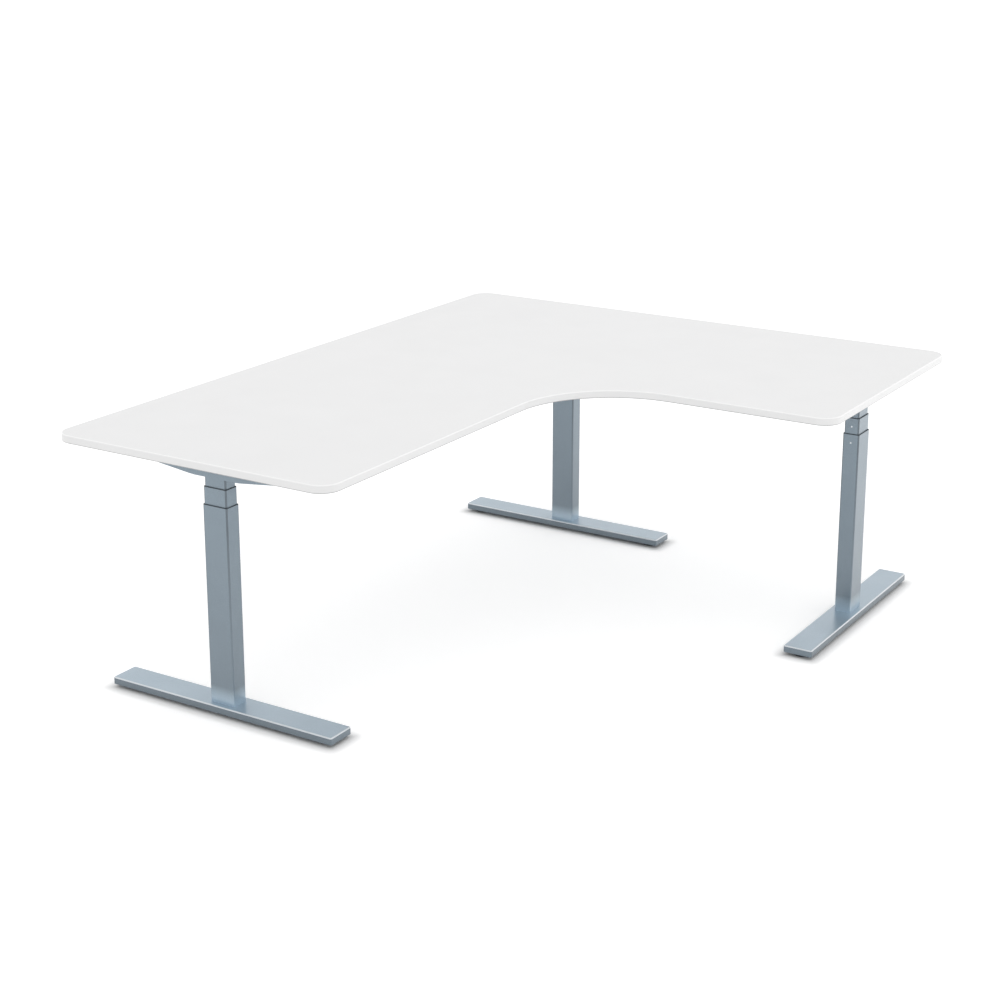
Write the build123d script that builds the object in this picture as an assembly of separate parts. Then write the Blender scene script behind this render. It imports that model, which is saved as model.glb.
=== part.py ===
from build123d import *
import math
import os

# Corner desk with three telescopic columns. Millimetres, +Z up, origin on the floor under the middle of the top.
# X runs along the short side of the L and Y along the long side. The inner curve opens towards +X and -Y.

# Desktop
desk_length = 2100.0
desk_return = 1700.0
left_wing_width = 900.0
right_wing_width = 900.0
desktop_thickness = 22.0
desktop_corner_radius = 55.0
inner_curve_radius = 300.0
edge_band_thickness = 3.0
edge_band_rounding = 2.5

# Column centres, measured from the outer edge of the top beside each leg
left_leg_setback = 138.0
corner_leg_setback = 172.0
right_leg_setback = 109.0

# Feet, folded trays that are open below
foot_length = 745.0
foot_width = 87.0
foot_thickness = 20.0
foot_wall = 2.5
foot_corner_radius = 5.0
foot_arris_radius = 3.0

# Levelling glides
foot_ground_gap = 10.0
glide_diameter = 56.0
glide_edge_distance = 14.0
glide_pad_thickness = 7.0
glide_pad_rounding = 2.0
glide_hub_diameter = 20.0
glide_hub_height = 2.0
glide_stem_diameter = 8.0
glide_rise = 2.0
glide_stem_end_gap = 0.5
glide_nut_across_flats = 13.0
glide_nut_height = 9.5

# Column tubes
column_long = 80.0
column_wide = 50.0
tube_corner_radius = 4.0
tube_wall = 1.5
stage_gap = 1.0
outer_tube_length = 551.5
middle_show = 46.5
inner_show = 24.5
collar_height = 2.0
bush_depth = 40.0
glide_ring_height = 30.0
slide_clearance = 0.3
tube_screw_drop = 27.0
tube_screw_head_diameter = 5.0
tube_screw_shank_diameter = 3.0
tube_screw_end_gap = 0.2

# Lift drive
down_travel = 22.0
up_travel = 278.0
end_clearance = 8.0
running_clearance = 0.05
base_plate_thickness = 6.0
base_screw_diameter = 12.0
base_screw_spigot_diameter = 10.0
lift_nut_length = 36.0
bearing_plate_thickness = 8.0
retaining_ring_thickness = 3.0
retaining_ring_width = 2.5
journal_wall = 4.0
drive_tube_wall = 2.5
drive_tube_room = 0.5
drive_bush_length = 30.0
lift_screw_room = 0.35
lift_screw_wall = 2.25
nut_block_height = 30.0
motor_room = 1.5
motor_length = 90.0
gearbox_length = 30.0
output_shaft_diameter = 8.0
output_shaft_depth = 15.0
output_shaft_gap = 2.0
motor_neck_reduction = 1.5

# Support arms, channels that are open below
arm_length = 700.0
arm_depth = 61.5
arm_end_depth = 29.5
arm_flat_length = 150.0
arm_bend_radius = 250.0
arm_wall = 2.5
arm_screw_end_distance = 30.0
arm_screw_middle_distance = 120.0
head_plate_length = 80.0
head_plate_thickness = 4.0

# Beams between the arms
beam_width = 60.0
beam_depth = 30.0
beam_wall = 2.0
beam_corner_radius = 3.0
end_plate_length = 100.0
end_plate_depth = 50.0
end_plate_thickness = 5.0
beam_bolt_edge_distance = 10.0
beam_bolt_upper_drop = 15.0
beam_bolt_lower_drop = 40.0

# Bolts, nuts and wood screws
bolt_clearance = 0.25
thread_clearance = 0.05
m6_diameter = 6.0
m6_across_flats = 10.0
m6_head_height = 4.0
m6_nut_height = 5.0
bolt_end_length = 1.0
m8_diameter = 8.0
m8_head_diameter = 13.0
m8_head_height = 5.0
foot_bolt_spacing = 52.0
m4_diameter = 4.0
m4_head_diameter = 7.0
m4_head_height = 2.5
motor_screw_spacing = 22.0
motor_screw_depth = 8.0
wood_screw_diameter = 4.8
wood_screw_head_diameter = 9.0
wood_screw_head_height = 2.5
wood_screw_grip = 15.0
pilot_depth_spare = 1.5

# Control box under the left wing
box_length = 240.0
box_width = 96.0
box_depth = 36.0
box_wall = 2.5
box_corner_radius = 4.0
box_beam_gap = 32.0
box_position_y = 200.0
box_base_thickness = 3.0
box_ear_length = 16.0
box_tab_width = 24.0
box_tab_height = 14.0
box_tab_thickness = 2.0
box_tab_inlet_gap = 4.0
cover_screw_diameter = 3.0
cover_screw_head_diameter = 5.5
cover_screw_head_height = 2.0
circuit_board_thickness = 1.6
circuit_board_margin = 4.0
standoff_height = 6.5
standoff_diameter = 6.0
standoff_inset = 10.0
socket_width = 14.0
socket_height = 10.0
socket_spacing = 30.0
socket_depth = 16.0
socket_clearance = 0.4
mains_inlet_width = 27.0
mains_inlet_height = 20.0
mains_inlet_depth = 24.0
transformer_size = 38.0
transformer_height = 20.0

# Handset under the left wing, set back from the inner edge
handset_setback = 50.0
handset_position_y = -420.0
handset_length = 96.0
handset_width = 50.0
handset_depth = 20.0
handset_wall = 2.0
handset_corner_radius = 3.0
handset_ear_length = 14.0
handset_ear_thickness = 3.0
button_length = 24.0
button_height = 10.0
button_corner_radius = 2.0
button_spacing = 36.0
button_proud = 2.0
button_travel = 1.2
button_clearance = 0.3
button_flange = 2.0
button_flange_thickness = 1.5
switch_size = 6.0
switch_depth = 2.5
handset_board_length = 80.0
handset_board_height = 14.0

# Heights of the stack, from the floor up
foot_top = foot_ground_gap + foot_thickness
outer_top = foot_top + outer_tube_length
outer_lip = outer_top + collar_height
middle_top = outer_lip + middle_show
middle_lip = middle_top + collar_height
arm_bottom = middle_lip + inner_show
underside = arm_bottom + arm_depth
desk_height = underside + desktop_thickness

# Tube sections, each stage one wall and one gap smaller all round than the stage outside it
stage_step = 2 * (tube_wall + stage_gap)
outer_size = (column_long, column_wide)
middle_size = (column_long - stage_step, column_wide - stage_step)
inner_size = (column_long - 2 * stage_step, column_wide - 2 * stage_step)

# Lift drive, from the base screw outwards
drive_tube_bore = base_screw_diameter + 2 * drive_tube_room
drive_tube_across = drive_tube_bore + 2 * drive_tube_wall
lift_screw_bore = drive_tube_across / math.cos(math.pi / 6) + 2 * lift_screw_room
lift_screw_diameter = lift_screw_bore + 2 * lift_screw_wall
journal_diameter = base_screw_diameter + 2 * journal_wall
retaining_ring_diameter = journal_diameter + 2 * retaining_ring_width
motor_diameter = inner_size[1] - 2 * tube_wall - 2 * motor_room

# Heights of the lift drive at rest
plate_top = foot_top + base_plate_thickness
ring_bottom = plate_top + down_travel + end_clearance
middle_bottom = ring_bottom + retaining_ring_thickness
bearing_top = middle_bottom + bearing_plate_thickness
inner_bottom = bearing_top + down_travel + end_clearance
lift_nut_top = ring_bottom + lift_nut_length
drive_bottom = lift_nut_top + down_travel + end_clearance
lift_screw_top = drive_bottom + up_travel + drive_bush_length + end_clearance
base_screw_top = lift_nut_top + up_travel + end_clearance
drive_bore_top = base_screw_top + 2 * down_travel + end_clearance
gearbox_bottom = arm_bottom - motor_length - gearbox_length

# Places in plan
left_x = (left_wing_width - desk_return) / 2
left_y = left_leg_setback - desk_length / 2
corner_y = desk_length / 2 - corner_leg_setback
right_x = desk_return / 2 - right_leg_setback
right_y = (desk_length - right_wing_width) / 2
inner_edge_x = left_wing_width - desk_return / 2
inner_edge_y = desk_length / 2 - right_wing_width
legs = {
    "left": Location((left_x, left_y, 0), (0, 0, 0)),
    "corner": Location((left_x, corner_y, 0), (0, 0, 0)),
    "right": Location((right_x, right_y, 0), (0, 0, 90)),
}
front_end = {"left": 1, "corner": 1, "right": -1}
arm_half_width = inner_size[1] / 2
glide_offset = foot_length / 2 - glide_edge_distance - glide_diameter / 2
arm_screw_places = [
    side * distance
    for side in (-1, 1)
    for distance in (arm_screw_middle_distance, arm_length / 2 - arm_screw_end_distance)
]
box_x = left_x + beam_width / 2 + box_beam_gap + box_width / 2
box_ear_offset = (box_length + box_ear_length) / 2
box_bottom = underside - box_base_thickness - box_depth
board_bottom = box_bottom + box_wall + standoff_height
box_tab_x = (box_tab_inlet_gap + box_tab_width) / 2
mains_inlet_x = -(box_tab_inlet_gap + mains_inlet_width) / 2
handset_front = inner_edge_x - handset_setback
handset_x = handset_front - handset_width / 2
handset_ear_offset = (handset_length + handset_ear_length) / 2
handset_bottom = underside - handset_depth
button_z = underside - handset_depth / 2
flange_front = handset_front - handset_wall - button_clearance
switch_front = flange_front - button_flange_thickness - button_travel - button_clearance

UP = (Align.CENTER, Align.CENTER, Align.MIN)
DOWN = (Align.CENTER, Align.CENTER, Align.MAX)


def block(size_x, size_y, bottom, top):
    return Pos(0, 0, bottom) * Box(size_x, size_y, top - bottom, align=UP)


def rod(diameter, bottom, top):
    return Pos(0, 0, bottom) * Cylinder(diameter / 2, top - bottom, align=UP)


def hexagon(across_flats, bottom, top):
    outline = RegularPolygon(across_flats / 2, 6, major_radius=False)
    return Pos(0, 0, bottom) * extrude(outline, top - bottom)


def rounded_block(size_x, size_y, radius, bottom, top):
    return Pos(0, 0, bottom) * extrude(RectangleRounded(size_x, size_y, radius), top - bottom)


def tube(size, wall, radius, bottom, top):
    bore = (size[0] - 2 * wall, size[1] - 2 * wall)
    outside = rounded_block(size[0], size[1], radius, bottom, top)
    return outside - rounded_block(bore[0], bore[1], radius - wall, bottom, top)


def headed_screw(head_diameter, head_height, shank_diameter, shank_length):
    """Shank along +Z from the seat at the origin, round head below it."""
    return rod(head_diameter, -head_height, 0) + rod(shank_diameter, 0, shank_length)


def wood_screw(sheet):
    """Pan-head screw that passes a sheet of the given thickness and grips the board."""
    length = sheet + wood_screw_grip
    return headed_screw(wood_screw_head_diameter, wood_screw_head_height, wood_screw_diameter, length)


def save(node, *pieces):
    solids = [solid for piece in pieces for solid in piece.solids()]
    shape = solids[0] if len(solids) == 1 else Compound(solids)
    export_step(shape, f"parts/{node}.step")


def on_every_leg(piece):
    return [leg * piece for leg in legs.values()]


# Desktop

def wood_screw_places():
    """Points on the underside where the arms, the control box and the handset are screwed on."""
    places = [(leg * Pos(u, 0, 0)).position for leg in legs.values() for u in arm_screw_places]
    places += [Vector(box_x, box_position_y + side * box_ear_offset, 0) for side in (-1, 1)]
    places += [Vector(handset_x, handset_position_y + side * handset_ear_offset, 0) for side in (-1, 1)]
    return places


def desktop_outline(inset):
    """L-shaped outline, drawn in from the edge by the inset."""
    low_x = inset - desk_return / 2
    low_y = inset - desk_length / 2
    corners = [
        (low_x, low_y),
        (inner_edge_x - inset, low_y),
        (inner_edge_x - inset, inner_edge_y + inset),
        (-low_x, inner_edge_y + inset),
        (-low_x, -low_y),
        (low_x, -low_y),
    ]
    outer = desktop_corner_radius - inset
    inner = inner_curve_radius + inset
    return make_face(FilletPolyline(*corners, radius=[outer, outer, inner, outer, outer, outer], close=True))


def desktop_board():
    board = Pos(0, 0, underside) * extrude(desktop_outline(edge_band_thickness), desktop_thickness)
    pilot_diameter = wood_screw_diameter + 2 * thread_clearance
    pilot = rod(pilot_diameter, underside, underside + wood_screw_grip + pilot_depth_spare)
    return board - [Pos(place.X, place.Y, 0) * pilot for place in wood_screw_places()]


def desktop_edge_band():
    outside = Pos(0, 0, underside) * extrude(desktop_outline(0), desktop_thickness)
    inside = Pos(0, 0, underside) * extrude(desktop_outline(edge_band_thickness), desktop_thickness)
    faces = outside.faces().sort_by(Axis.Z)
    rims = faces[0].outer_wire().edges() + faces[-1].outer_wire().edges()
    return fillet(rims, edge_band_rounding) - inside


# Feet and glides

def foot():
    body = rounded_block(foot_length, foot_width, foot_corner_radius, foot_ground_gap, foot_top)
    body = fillet(body.faces().sort_by(Axis.Z)[-1].edges(), foot_arris_radius)
    inside = rounded_block(
        foot_length - 2 * foot_wall,
        foot_width - 2 * foot_wall,
        foot_corner_radius - foot_wall,
        foot_ground_gap,
        foot_top - foot_wall,
    )
    hole = rod(m8_diameter + 2 * bolt_clearance, foot_top - foot_wall, foot_top)
    holes = [Pos(side * foot_bolt_spacing / 2, 0, 0) * hole for side in (-1, 1)]
    return body - inside - holes


def levelling_glide():
    pad = rod(glide_diameter, 0, glide_pad_thickness)
    pad = fillet(pad.edges().sort_by(Axis.Z)[-1], glide_pad_rounding)
    hub_top = glide_pad_thickness + glide_hub_height
    stem_top = foot_top - foot_wall - glide_rise - glide_stem_end_gap
    return pad + rod(glide_hub_diameter, 0, hub_top) + rod(glide_stem_diameter, 0, stem_top)


def glide_nut():
    top = foot_top - foot_wall
    bottom = top - glide_nut_height
    return hexagon(glide_nut_across_flats, bottom, top) - rod(
        glide_stem_diameter + 2 * running_clearance, bottom, top
    )


def foot_bolts():
    length = foot_wall + base_plate_thickness
    bolt = headed_screw(m8_head_diameter, m8_head_height, m8_diameter, length)
    return [Pos(side * foot_bolt_spacing / 2, 0, foot_top - foot_wall) * bolt for side in (-1, 1)]


# Column tubes and their guides

def tube_screw_hole(size, lip, diameter, depth):
    """Round cut through the face on the -X side of a tube, at the height of the bush screw."""
    cut = rod(diameter, -tube_wall, depth)
    return Pos(-size[0] / 2, 0, lip - tube_screw_drop) * Rot(0, 90, 0) * cut


def outer_tube():
    body = tube(outer_size, tube_wall, tube_corner_radius, foot_top, outer_top)
    return body - tube_screw_hole(outer_size, outer_lip, tube_screw_head_diameter, 2 * tube_wall)


def middle_tube():
    body = tube(middle_size, tube_wall, tube_corner_radius, middle_bottom, middle_top)
    return body - tube_screw_hole(middle_size, middle_lip, tube_screw_head_diameter, 2 * tube_wall)


def inner_tube():
    return tube(inner_size, tube_wall, tube_corner_radius, inner_bottom, arm_bottom)


def guide_bush(size, top):
    """Thin sleeve in the mouth of a tube, with a collar that covers the tube's rim."""
    lip = top + collar_height
    bore = (size[0] - stage_step + 2 * slide_clearance, size[1] - stage_step + 2 * slide_clearance)
    sleeve = rounded_block(
        size[0] - 2 * tube_wall, size[1] - 2 * tube_wall, tube_corner_radius - tube_wall, top - bush_depth, lip
    )
    collar = rounded_block(size[0], size[1], tube_corner_radius, top, lip)
    passage = rounded_block(bore[0], bore[1], tube_corner_radius, top - bush_depth, lip)
    screw_hole = tube_screw_hole(size, lip, tube_screw_shank_diameter + 2 * thread_clearance, 3 * tube_wall)
    return sleeve + collar - passage - screw_hole


def tube_screw(size, lip):
    """Flush screw through the tube's wall into the bush behind it."""
    bush_wall = stage_gap - slide_clearance
    head = rod(tube_screw_head_diameter, 0, tube_wall)
    shank = rod(tube_screw_shank_diameter, 0, tube_wall + bush_wall - tube_screw_end_gap)
    return Pos(-size[0] / 2, 0, lip - tube_screw_drop) * Rot(0, 90, 0) * (head + shank)


def glide_ring(size, bottom):
    """Plastic band round the foot of a sliding tube."""
    band = stage_gap - slide_clearance
    outside = (size[0] + 2 * band, size[1] + 2 * band)
    return tube(outside, band, tube_corner_radius + band, bottom, bottom + glide_ring_height)


# Lift drive

def column_base_plate():
    size = (column_long - 2 * tube_wall, column_wide - 2 * tube_wall)
    plate = rounded_block(size[0], size[1], tube_corner_radius - tube_wall, foot_top, plate_top)
    spigot_hole = rod(base_screw_spigot_diameter + 2 * thread_clearance, foot_top, plate_top)
    bolt_hole = rod(m8_diameter + 2 * thread_clearance, foot_top, plate_top)
    bolt_holes = [Pos(side * foot_bolt_spacing / 2, 0, 0) * bolt_hole for side in (-1, 1)]
    return plate - spigot_hole - bolt_holes


def base_screw():
    return rod(base_screw_spigot_diameter, foot_top, plate_top) + rod(
        base_screw_diameter, plate_top, base_screw_top
    )


def middle_bearing_plate():
    size = (middle_size[0] - 2 * tube_wall, middle_size[1] - 2 * tube_wall)
    plate = rounded_block(size[0], size[1], tube_corner_radius - tube_wall, middle_bottom, bearing_top)
    return plate - rod(journal_diameter + 2 * running_clearance, middle_bottom, bearing_top)


def lift_screw():
    """Hollow screw: nut for the base screw at its foot, hexagonal bush for the drive tube at its top."""
    bush_bottom = lift_screw_top - drive_bush_length
    body = rod(journal_diameter, ring_bottom, bearing_top) + rod(lift_screw_diameter, bearing_top, lift_screw_top)
    nut_bore = rod(base_screw_diameter + 2 * running_clearance, ring_bottom, lift_nut_top)
    long_bore = rod(lift_screw_bore, lift_nut_top, bush_bottom)
    bush_bore = hexagon(drive_tube_across + 2 * running_clearance, bush_bottom, lift_screw_top)
    return body - nut_bore - long_bore - bush_bore


def retaining_ring():
    ring = rod(retaining_ring_diameter, ring_bottom, middle_bottom)
    return ring - rod(journal_diameter, ring_bottom, middle_bottom)


def drive_tube():
    """Hexagonal tube that slides in the lift screw, with the stub that the gearbox turns."""
    top = gearbox_bottom - output_shaft_gap
    body = hexagon(drive_tube_across, drive_bottom, top) - rod(drive_tube_bore, drive_bottom, drive_bore_top)
    return body + rod(output_shaft_diameter, top, gearbox_bottom + output_shaft_depth)


def inner_nut():
    size = (inner_size[0] - 2 * tube_wall, inner_size[1] - 2 * tube_wall)
    top = inner_bottom + nut_block_height
    plug = rounded_block(size[0], size[1], tube_corner_radius - tube_wall, inner_bottom, top)
    return plug - rod(lift_screw_diameter + 2 * running_clearance, inner_bottom, top)


def gear_motor():
    """Motor can under the head plate, with its gearbox below."""
    can_bottom = gearbox_bottom + gearbox_length
    can = rod(motor_diameter - 2 * motor_neck_reduction, can_bottom, arm_bottom)
    gearbox = rod(motor_diameter, gearbox_bottom, can_bottom)
    shaft_bore = rod(
        output_shaft_diameter + 2 * running_clearance,
        gearbox_bottom,
        gearbox_bottom + output_shaft_depth + output_shaft_gap,
    )
    screw_hole = rod(m4_diameter + 2 * thread_clearance, arm_bottom - motor_screw_depth, arm_bottom)
    screw_holes = [Pos(side * motor_screw_spacing / 2, 0, 0) * screw_hole for side in (-1, 1)]
    return can + gearbox - shaft_bore - screw_holes


def motor_screws():
    screw = headed_screw(m4_head_diameter, m4_head_height, m4_diameter, head_plate_thickness + motor_screw_depth)
    seat = arm_bottom + head_plate_thickness
    return [Pos(side * motor_screw_spacing / 2, 0, seat) * Rot(180, 0, 0) * screw for side in (-1, 1)]


# Arms and beams

def support_arm():
    """Channel with tapered sides and closed ends. The deep middle stands on the inner tube."""
    half = arm_length / 2
    flat = arm_flat_length / 2
    end = underside - arm_end_depth
    side = make_face(
        Polyline(
            (-half, underside), (half, underside), (half, end), (flat, arm_bottom), (-flat, arm_bottom), (-half, end),
            close=True,
        )
    )
    bends = [vertex for vertex in side.vertices() if abs(vertex.Y - arm_bottom) < thread_clearance]
    side = fillet(bends, arm_bend_radius)
    body = extrude(Plane.XZ * side, arm_half_width, both=True)
    inside = block(
        arm_length - 2 * arm_wall, 2 * (arm_half_width - arm_wall), arm_bottom, underside - arm_wall
    )
    hole = rod(wood_screw_diameter + 2 * bolt_clearance, underside - arm_wall, underside)
    return body - inside - [Pos(u, 0, 0) * hole for u in arm_screw_places]


def arm_screws():
    return [Pos(u, 0, underside - arm_wall) * wood_screw(arm_wall) for u in arm_screw_places]


def column_head_plate():
    top = arm_bottom + head_plate_thickness
    plate = block(head_plate_length, 2 * (arm_half_width - arm_wall), arm_bottom, top)
    hole = rod(m4_diameter + 2 * bolt_clearance, arm_bottom, top)
    return plate - [Pos(side * motor_screw_spacing / 2, 0, 0) * hole for side in (-1, 1)]


def bolt_points(drops):
    """Bolt centres on an end plate, across the beam and down from the underside of the top."""
    across = end_plate_length / 2 - beam_bolt_edge_distance
    return [(side * across, underside - drop) for side in (-1, 1) for drop in drops]


# Each beam end: where its plate meets the arm or the main beam, the way the beam leaves it, the wall that the bolts
# pass, the plate's depth and the bolts' heights below the underside.
arm_drops = (beam_bolt_upper_drop, beam_bolt_lower_drop)
main_start = left_y + arm_half_width
main_finish = corner_y - arm_half_width
return_start = left_x + beam_width / 2
return_finish = right_x - arm_half_width
beam_ends = [
    (Location((left_x, main_start, 0), (0, 0, 0)), arm_wall, end_plate_depth, arm_drops),
    (Location((left_x, main_finish, 0), (0, 0, 180)), arm_wall, end_plate_depth, arm_drops),
    (Location((return_finish, right_y, 0), (0, 0, 90)), arm_wall, end_plate_depth, arm_drops),
    (Location((return_start, right_y, 0), (0, 0, -90)), beam_wall, beam_depth, (beam_bolt_upper_drop,)),
]


def bolt_holes(wall, drops):
    """Bolt holes through the plate and the wall behind it, for an end whose beam leaves along +Y."""
    hole = Rot(-90, 0, 0) * rod(m6_diameter + 2 * bolt_clearance, -wall, end_plate_thickness)
    return [Pos(x, 0, z) * hole for x, z in bolt_points(drops)]


def end_plate(wall, depth, drops):
    plate = Pos(0, end_plate_thickness / 2, 0) * block(
        end_plate_length, end_plate_thickness, underside - depth, underside
    )
    return plate - bolt_holes(wall, drops)


def beam_bolt(wall):
    length = end_plate_thickness + wall + m6_nut_height + bolt_end_length
    head = hexagon(m6_across_flats, -m6_head_height, 0)
    return Pos(0, end_plate_thickness, 0) * Rot(90, 0, 0) * (head + rod(m6_diameter, 0, length))


def beam_nut(wall):
    nut = hexagon(m6_across_flats, 0, m6_nut_height) - rod(m6_diameter + 2 * thread_clearance, 0, m6_nut_height)
    return Pos(0, -wall, 0) * Rot(90, 0, 0) * nut


def end_bolts(wall, drops):
    return [Pos(x, 0, z) * beam_bolt(wall) for x, z in bolt_points(drops)]


def end_nuts(wall, drops):
    return [Pos(x, 0, z) * beam_nut(wall) for x, z in bolt_points(drops)]


def cut_for_bolts(piece):
    for place, wall, depth, drops in beam_ends:
        piece = piece - [place * hole for hole in bolt_holes(wall, drops)]
    return piece


def beam(start, finish):
    """Rectangular tube along +Y between two end plates, with its top against the underside of the board."""
    length = finish - start - 2 * end_plate_thickness
    outline = RectangleRounded(beam_width, beam_depth, beam_corner_radius)
    bore = RectangleRounded(
        beam_width - 2 * beam_wall, beam_depth - 2 * beam_wall, beam_corner_radius - beam_wall
    )
    middle = (start + finish) / 2
    return Pos(0, middle, underside - beam_depth / 2) * extrude(
        Plane.XZ * (outline - bore), length / 2, both=True
    )


def main_beam():
    return cut_for_bolts(Pos(left_x, 0, 0) * beam(main_start, main_finish))


def return_beam():
    return Pos(0, right_y, 0) * Rot(0, 0, -90) * beam(return_start, return_finish)


# Control box

def box_sockets():
    """Middle points of the lead sockets along the +X side, as offsets in Y."""
    return [(index - 1.5) * socket_spacing for index in range(4)]


def control_box_base():
    top = underside
    bottom = underside - box_base_thickness
    plate = rounded_block(box_width, box_length + 2 * box_ear_length, box_corner_radius, bottom, top)
    tab_y = box_length / 2 - box_wall - box_tab_thickness / 2
    tab = block(box_tab_width, box_tab_thickness, bottom - box_tab_height, bottom)
    hole = rod(wood_screw_diameter + 2 * bolt_clearance, bottom, top)
    screw_hole = rod(cover_screw_diameter + 2 * thread_clearance, -box_tab_thickness, box_tab_thickness)
    for side in (-1, 1):
        plate = plate + Pos(box_tab_x, side * tab_y, 0) * tab
        plate = plate - Pos(0, side * box_ear_offset, 0) * hole
        screw_place = Pos(box_tab_x, side * tab_y, bottom - box_tab_height / 2)
        plate = plate - screw_place * Rot(90, 0, 0) * screw_hole
    return plate


def control_box_cover():
    top = underside - box_base_thickness
    floor = box_bottom + box_wall
    shell = rounded_block(box_width, box_length, box_corner_radius, box_bottom, top)
    shell = shell - rounded_block(
        box_width - 2 * box_wall, box_length - 2 * box_wall, box_corner_radius - box_wall, floor, top
    )
    post = rod(standoff_diameter, floor, board_bottom)
    screw_hole = rod(cover_screw_diameter + 2 * bolt_clearance, -box_wall, box_wall)
    for side_x in (-1, 1):
        for side_y in (-1, 1):
            x = side_x * (box_width / 2 - box_wall - standoff_inset)
            y = side_y * (box_length / 2 - box_wall - standoff_inset)
            shell = shell + Pos(x, y, 0) * post
    for side in (-1, 1):
        end = Pos(box_tab_x, side * (box_length - box_wall) / 2, top - box_tab_height / 2)
        shell = shell - end * Rot(90, 0, 0) * screw_hole
    board_top = board_bottom + circuit_board_thickness
    opening = block(
        4 * box_wall, socket_width + 2 * socket_clearance, board_top, board_top + socket_height + socket_clearance
    )
    for y in box_sockets():
        shell = shell - Pos(box_width / 2, y, 0) * opening
    inlet = block(
        mains_inlet_width + 2 * socket_clearance,
        4 * box_wall,
        board_top,
        board_top + mains_inlet_height + socket_clearance,
    )
    return shell - Pos(mains_inlet_x, -box_length / 2, 0) * inlet


def control_board():
    """Circuit board with its lead sockets, mains inlet and transformer."""
    top = board_bottom + circuit_board_thickness
    size_x = box_width - 2 * box_wall - 2 * circuit_board_margin
    size_y = box_length - 2 * box_wall - 2 * circuit_board_margin
    board = block(size_x, size_y, board_bottom, top)
    socket = block(socket_depth, socket_width, top, top + socket_height)
    socket = socket - Pos(socket_depth / 2, 0, 0) * block(
        socket_depth, socket_width / 2, top + socket_height / 4, top + 3 * socket_height / 4
    )
    for y in box_sockets():
        board = board + Pos((box_width - socket_depth) / 2, y, 0) * socket
    inlet = block(mains_inlet_width, mains_inlet_depth, top, top + mains_inlet_height)
    inlet = inlet - Pos(0, -mains_inlet_depth / 2, 0) * block(
        mains_inlet_width - 2 * box_wall, mains_inlet_depth, top + box_wall, top + mains_inlet_height - box_wall
    )
    board = board + Pos(mains_inlet_x, (mains_inlet_depth - box_length) / 2, 0) * inlet
    return board + block(transformer_size, transformer_size, top, top + transformer_height)


def control_box_screws():
    ear_screw = wood_screw(box_base_thickness)
    length = box_wall + box_tab_thickness
    cover_screw = headed_screw(cover_screw_head_diameter, cover_screw_head_height, cover_screw_diameter, length)
    base_bottom = underside - box_base_thickness
    height = base_bottom - box_tab_height / 2
    screws = [Pos(0, side * box_ear_offset, base_bottom) * ear_screw for side in (-1, 1)]
    for side in (-1, 1):
        screws.append(Pos(box_tab_x, side * box_length / 2, height) * Rot(side * 90, 0, 0) * cover_screw)
    return screws


# Handset

def handset_case():
    size = (handset_width, handset_length)
    body = rounded_block(size[0], size[1], handset_corner_radius, handset_bottom, underside)
    body = fillet(body.faces().sort_by(Axis.Z)[0].edges(), handset_corner_radius / 2)
    ears = rounded_block(
        wood_screw_head_diameter + 2 * handset_corner_radius,
        handset_length + 2 * handset_ear_length,
        handset_corner_radius,
        underside - handset_ear_thickness,
        underside,
    )
    inside = rounded_block(
        size[0] - 2 * handset_wall,
        size[1] - 2 * handset_wall,
        handset_corner_radius - handset_wall,
        handset_bottom + handset_wall,
        underside,
    )
    hole = rod(wood_screw_diameter + 2 * bolt_clearance, underside - handset_ear_thickness, underside)
    opening = RectangleRounded(
        button_length + 2 * button_clearance,
        button_height + 2 * button_clearance,
        button_corner_radius + button_clearance,
    )
    passage = Plane.YZ.location * extrude(opening, 2 * handset_wall, both=True)
    case = body + ears - inside
    for side in (-1, 1):
        case = case - Pos(0, side * handset_ear_offset, 0) * hole
        case = case - Pos(handset_width / 2, side * button_spacing / 2, button_z) * passage
    return Pos(handset_x, handset_position_y, 0) * case


def handset_button(side):
    """Cap that stands out of the front wall, with a flange behind the wall that keeps it in."""
    cap = RectangleRounded(button_length, button_height, button_corner_radius)
    flange = RectangleRounded(
        button_length + 2 * button_flange, button_height + 2 * button_flange, button_corner_radius
    )
    cap_length = handset_front + button_proud - flange_front
    button = extrude(cap, cap_length) + extrude(flange, -button_flange_thickness)
    place = Pos(flange_front, handset_position_y + side * button_spacing / 2, button_z)
    return place * Plane.YZ.location * button


def handset_board():
    """Upright circuit board on the floor of the case, with a switch behind each button."""
    floor = handset_bottom + handset_wall
    front = switch_front - switch_depth
    board = Pos(front - circuit_board_thickness / 2, handset_position_y, 0) * block(
        circuit_board_thickness, handset_board_length, floor, floor + handset_board_height
    )
    switch = Pos(front + switch_depth / 2, 0, button_z) * Box(switch_depth, switch_size, switch_size)
    for side in (-1, 1):
        board = board + Pos(0, handset_position_y + side * button_spacing / 2, 0) * switch
    return board


def handset_screws():
    seat = underside - handset_ear_thickness
    return [
        Pos(handset_x, handset_position_y + side * handset_ear_offset, seat) * wood_screw(handset_ear_thickness)
        for side in (-1, 1)
    ]


def save_desktop():
    save("desktop_board", desktop_board())
    save("desktop_edge_band", desktop_edge_band())


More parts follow.
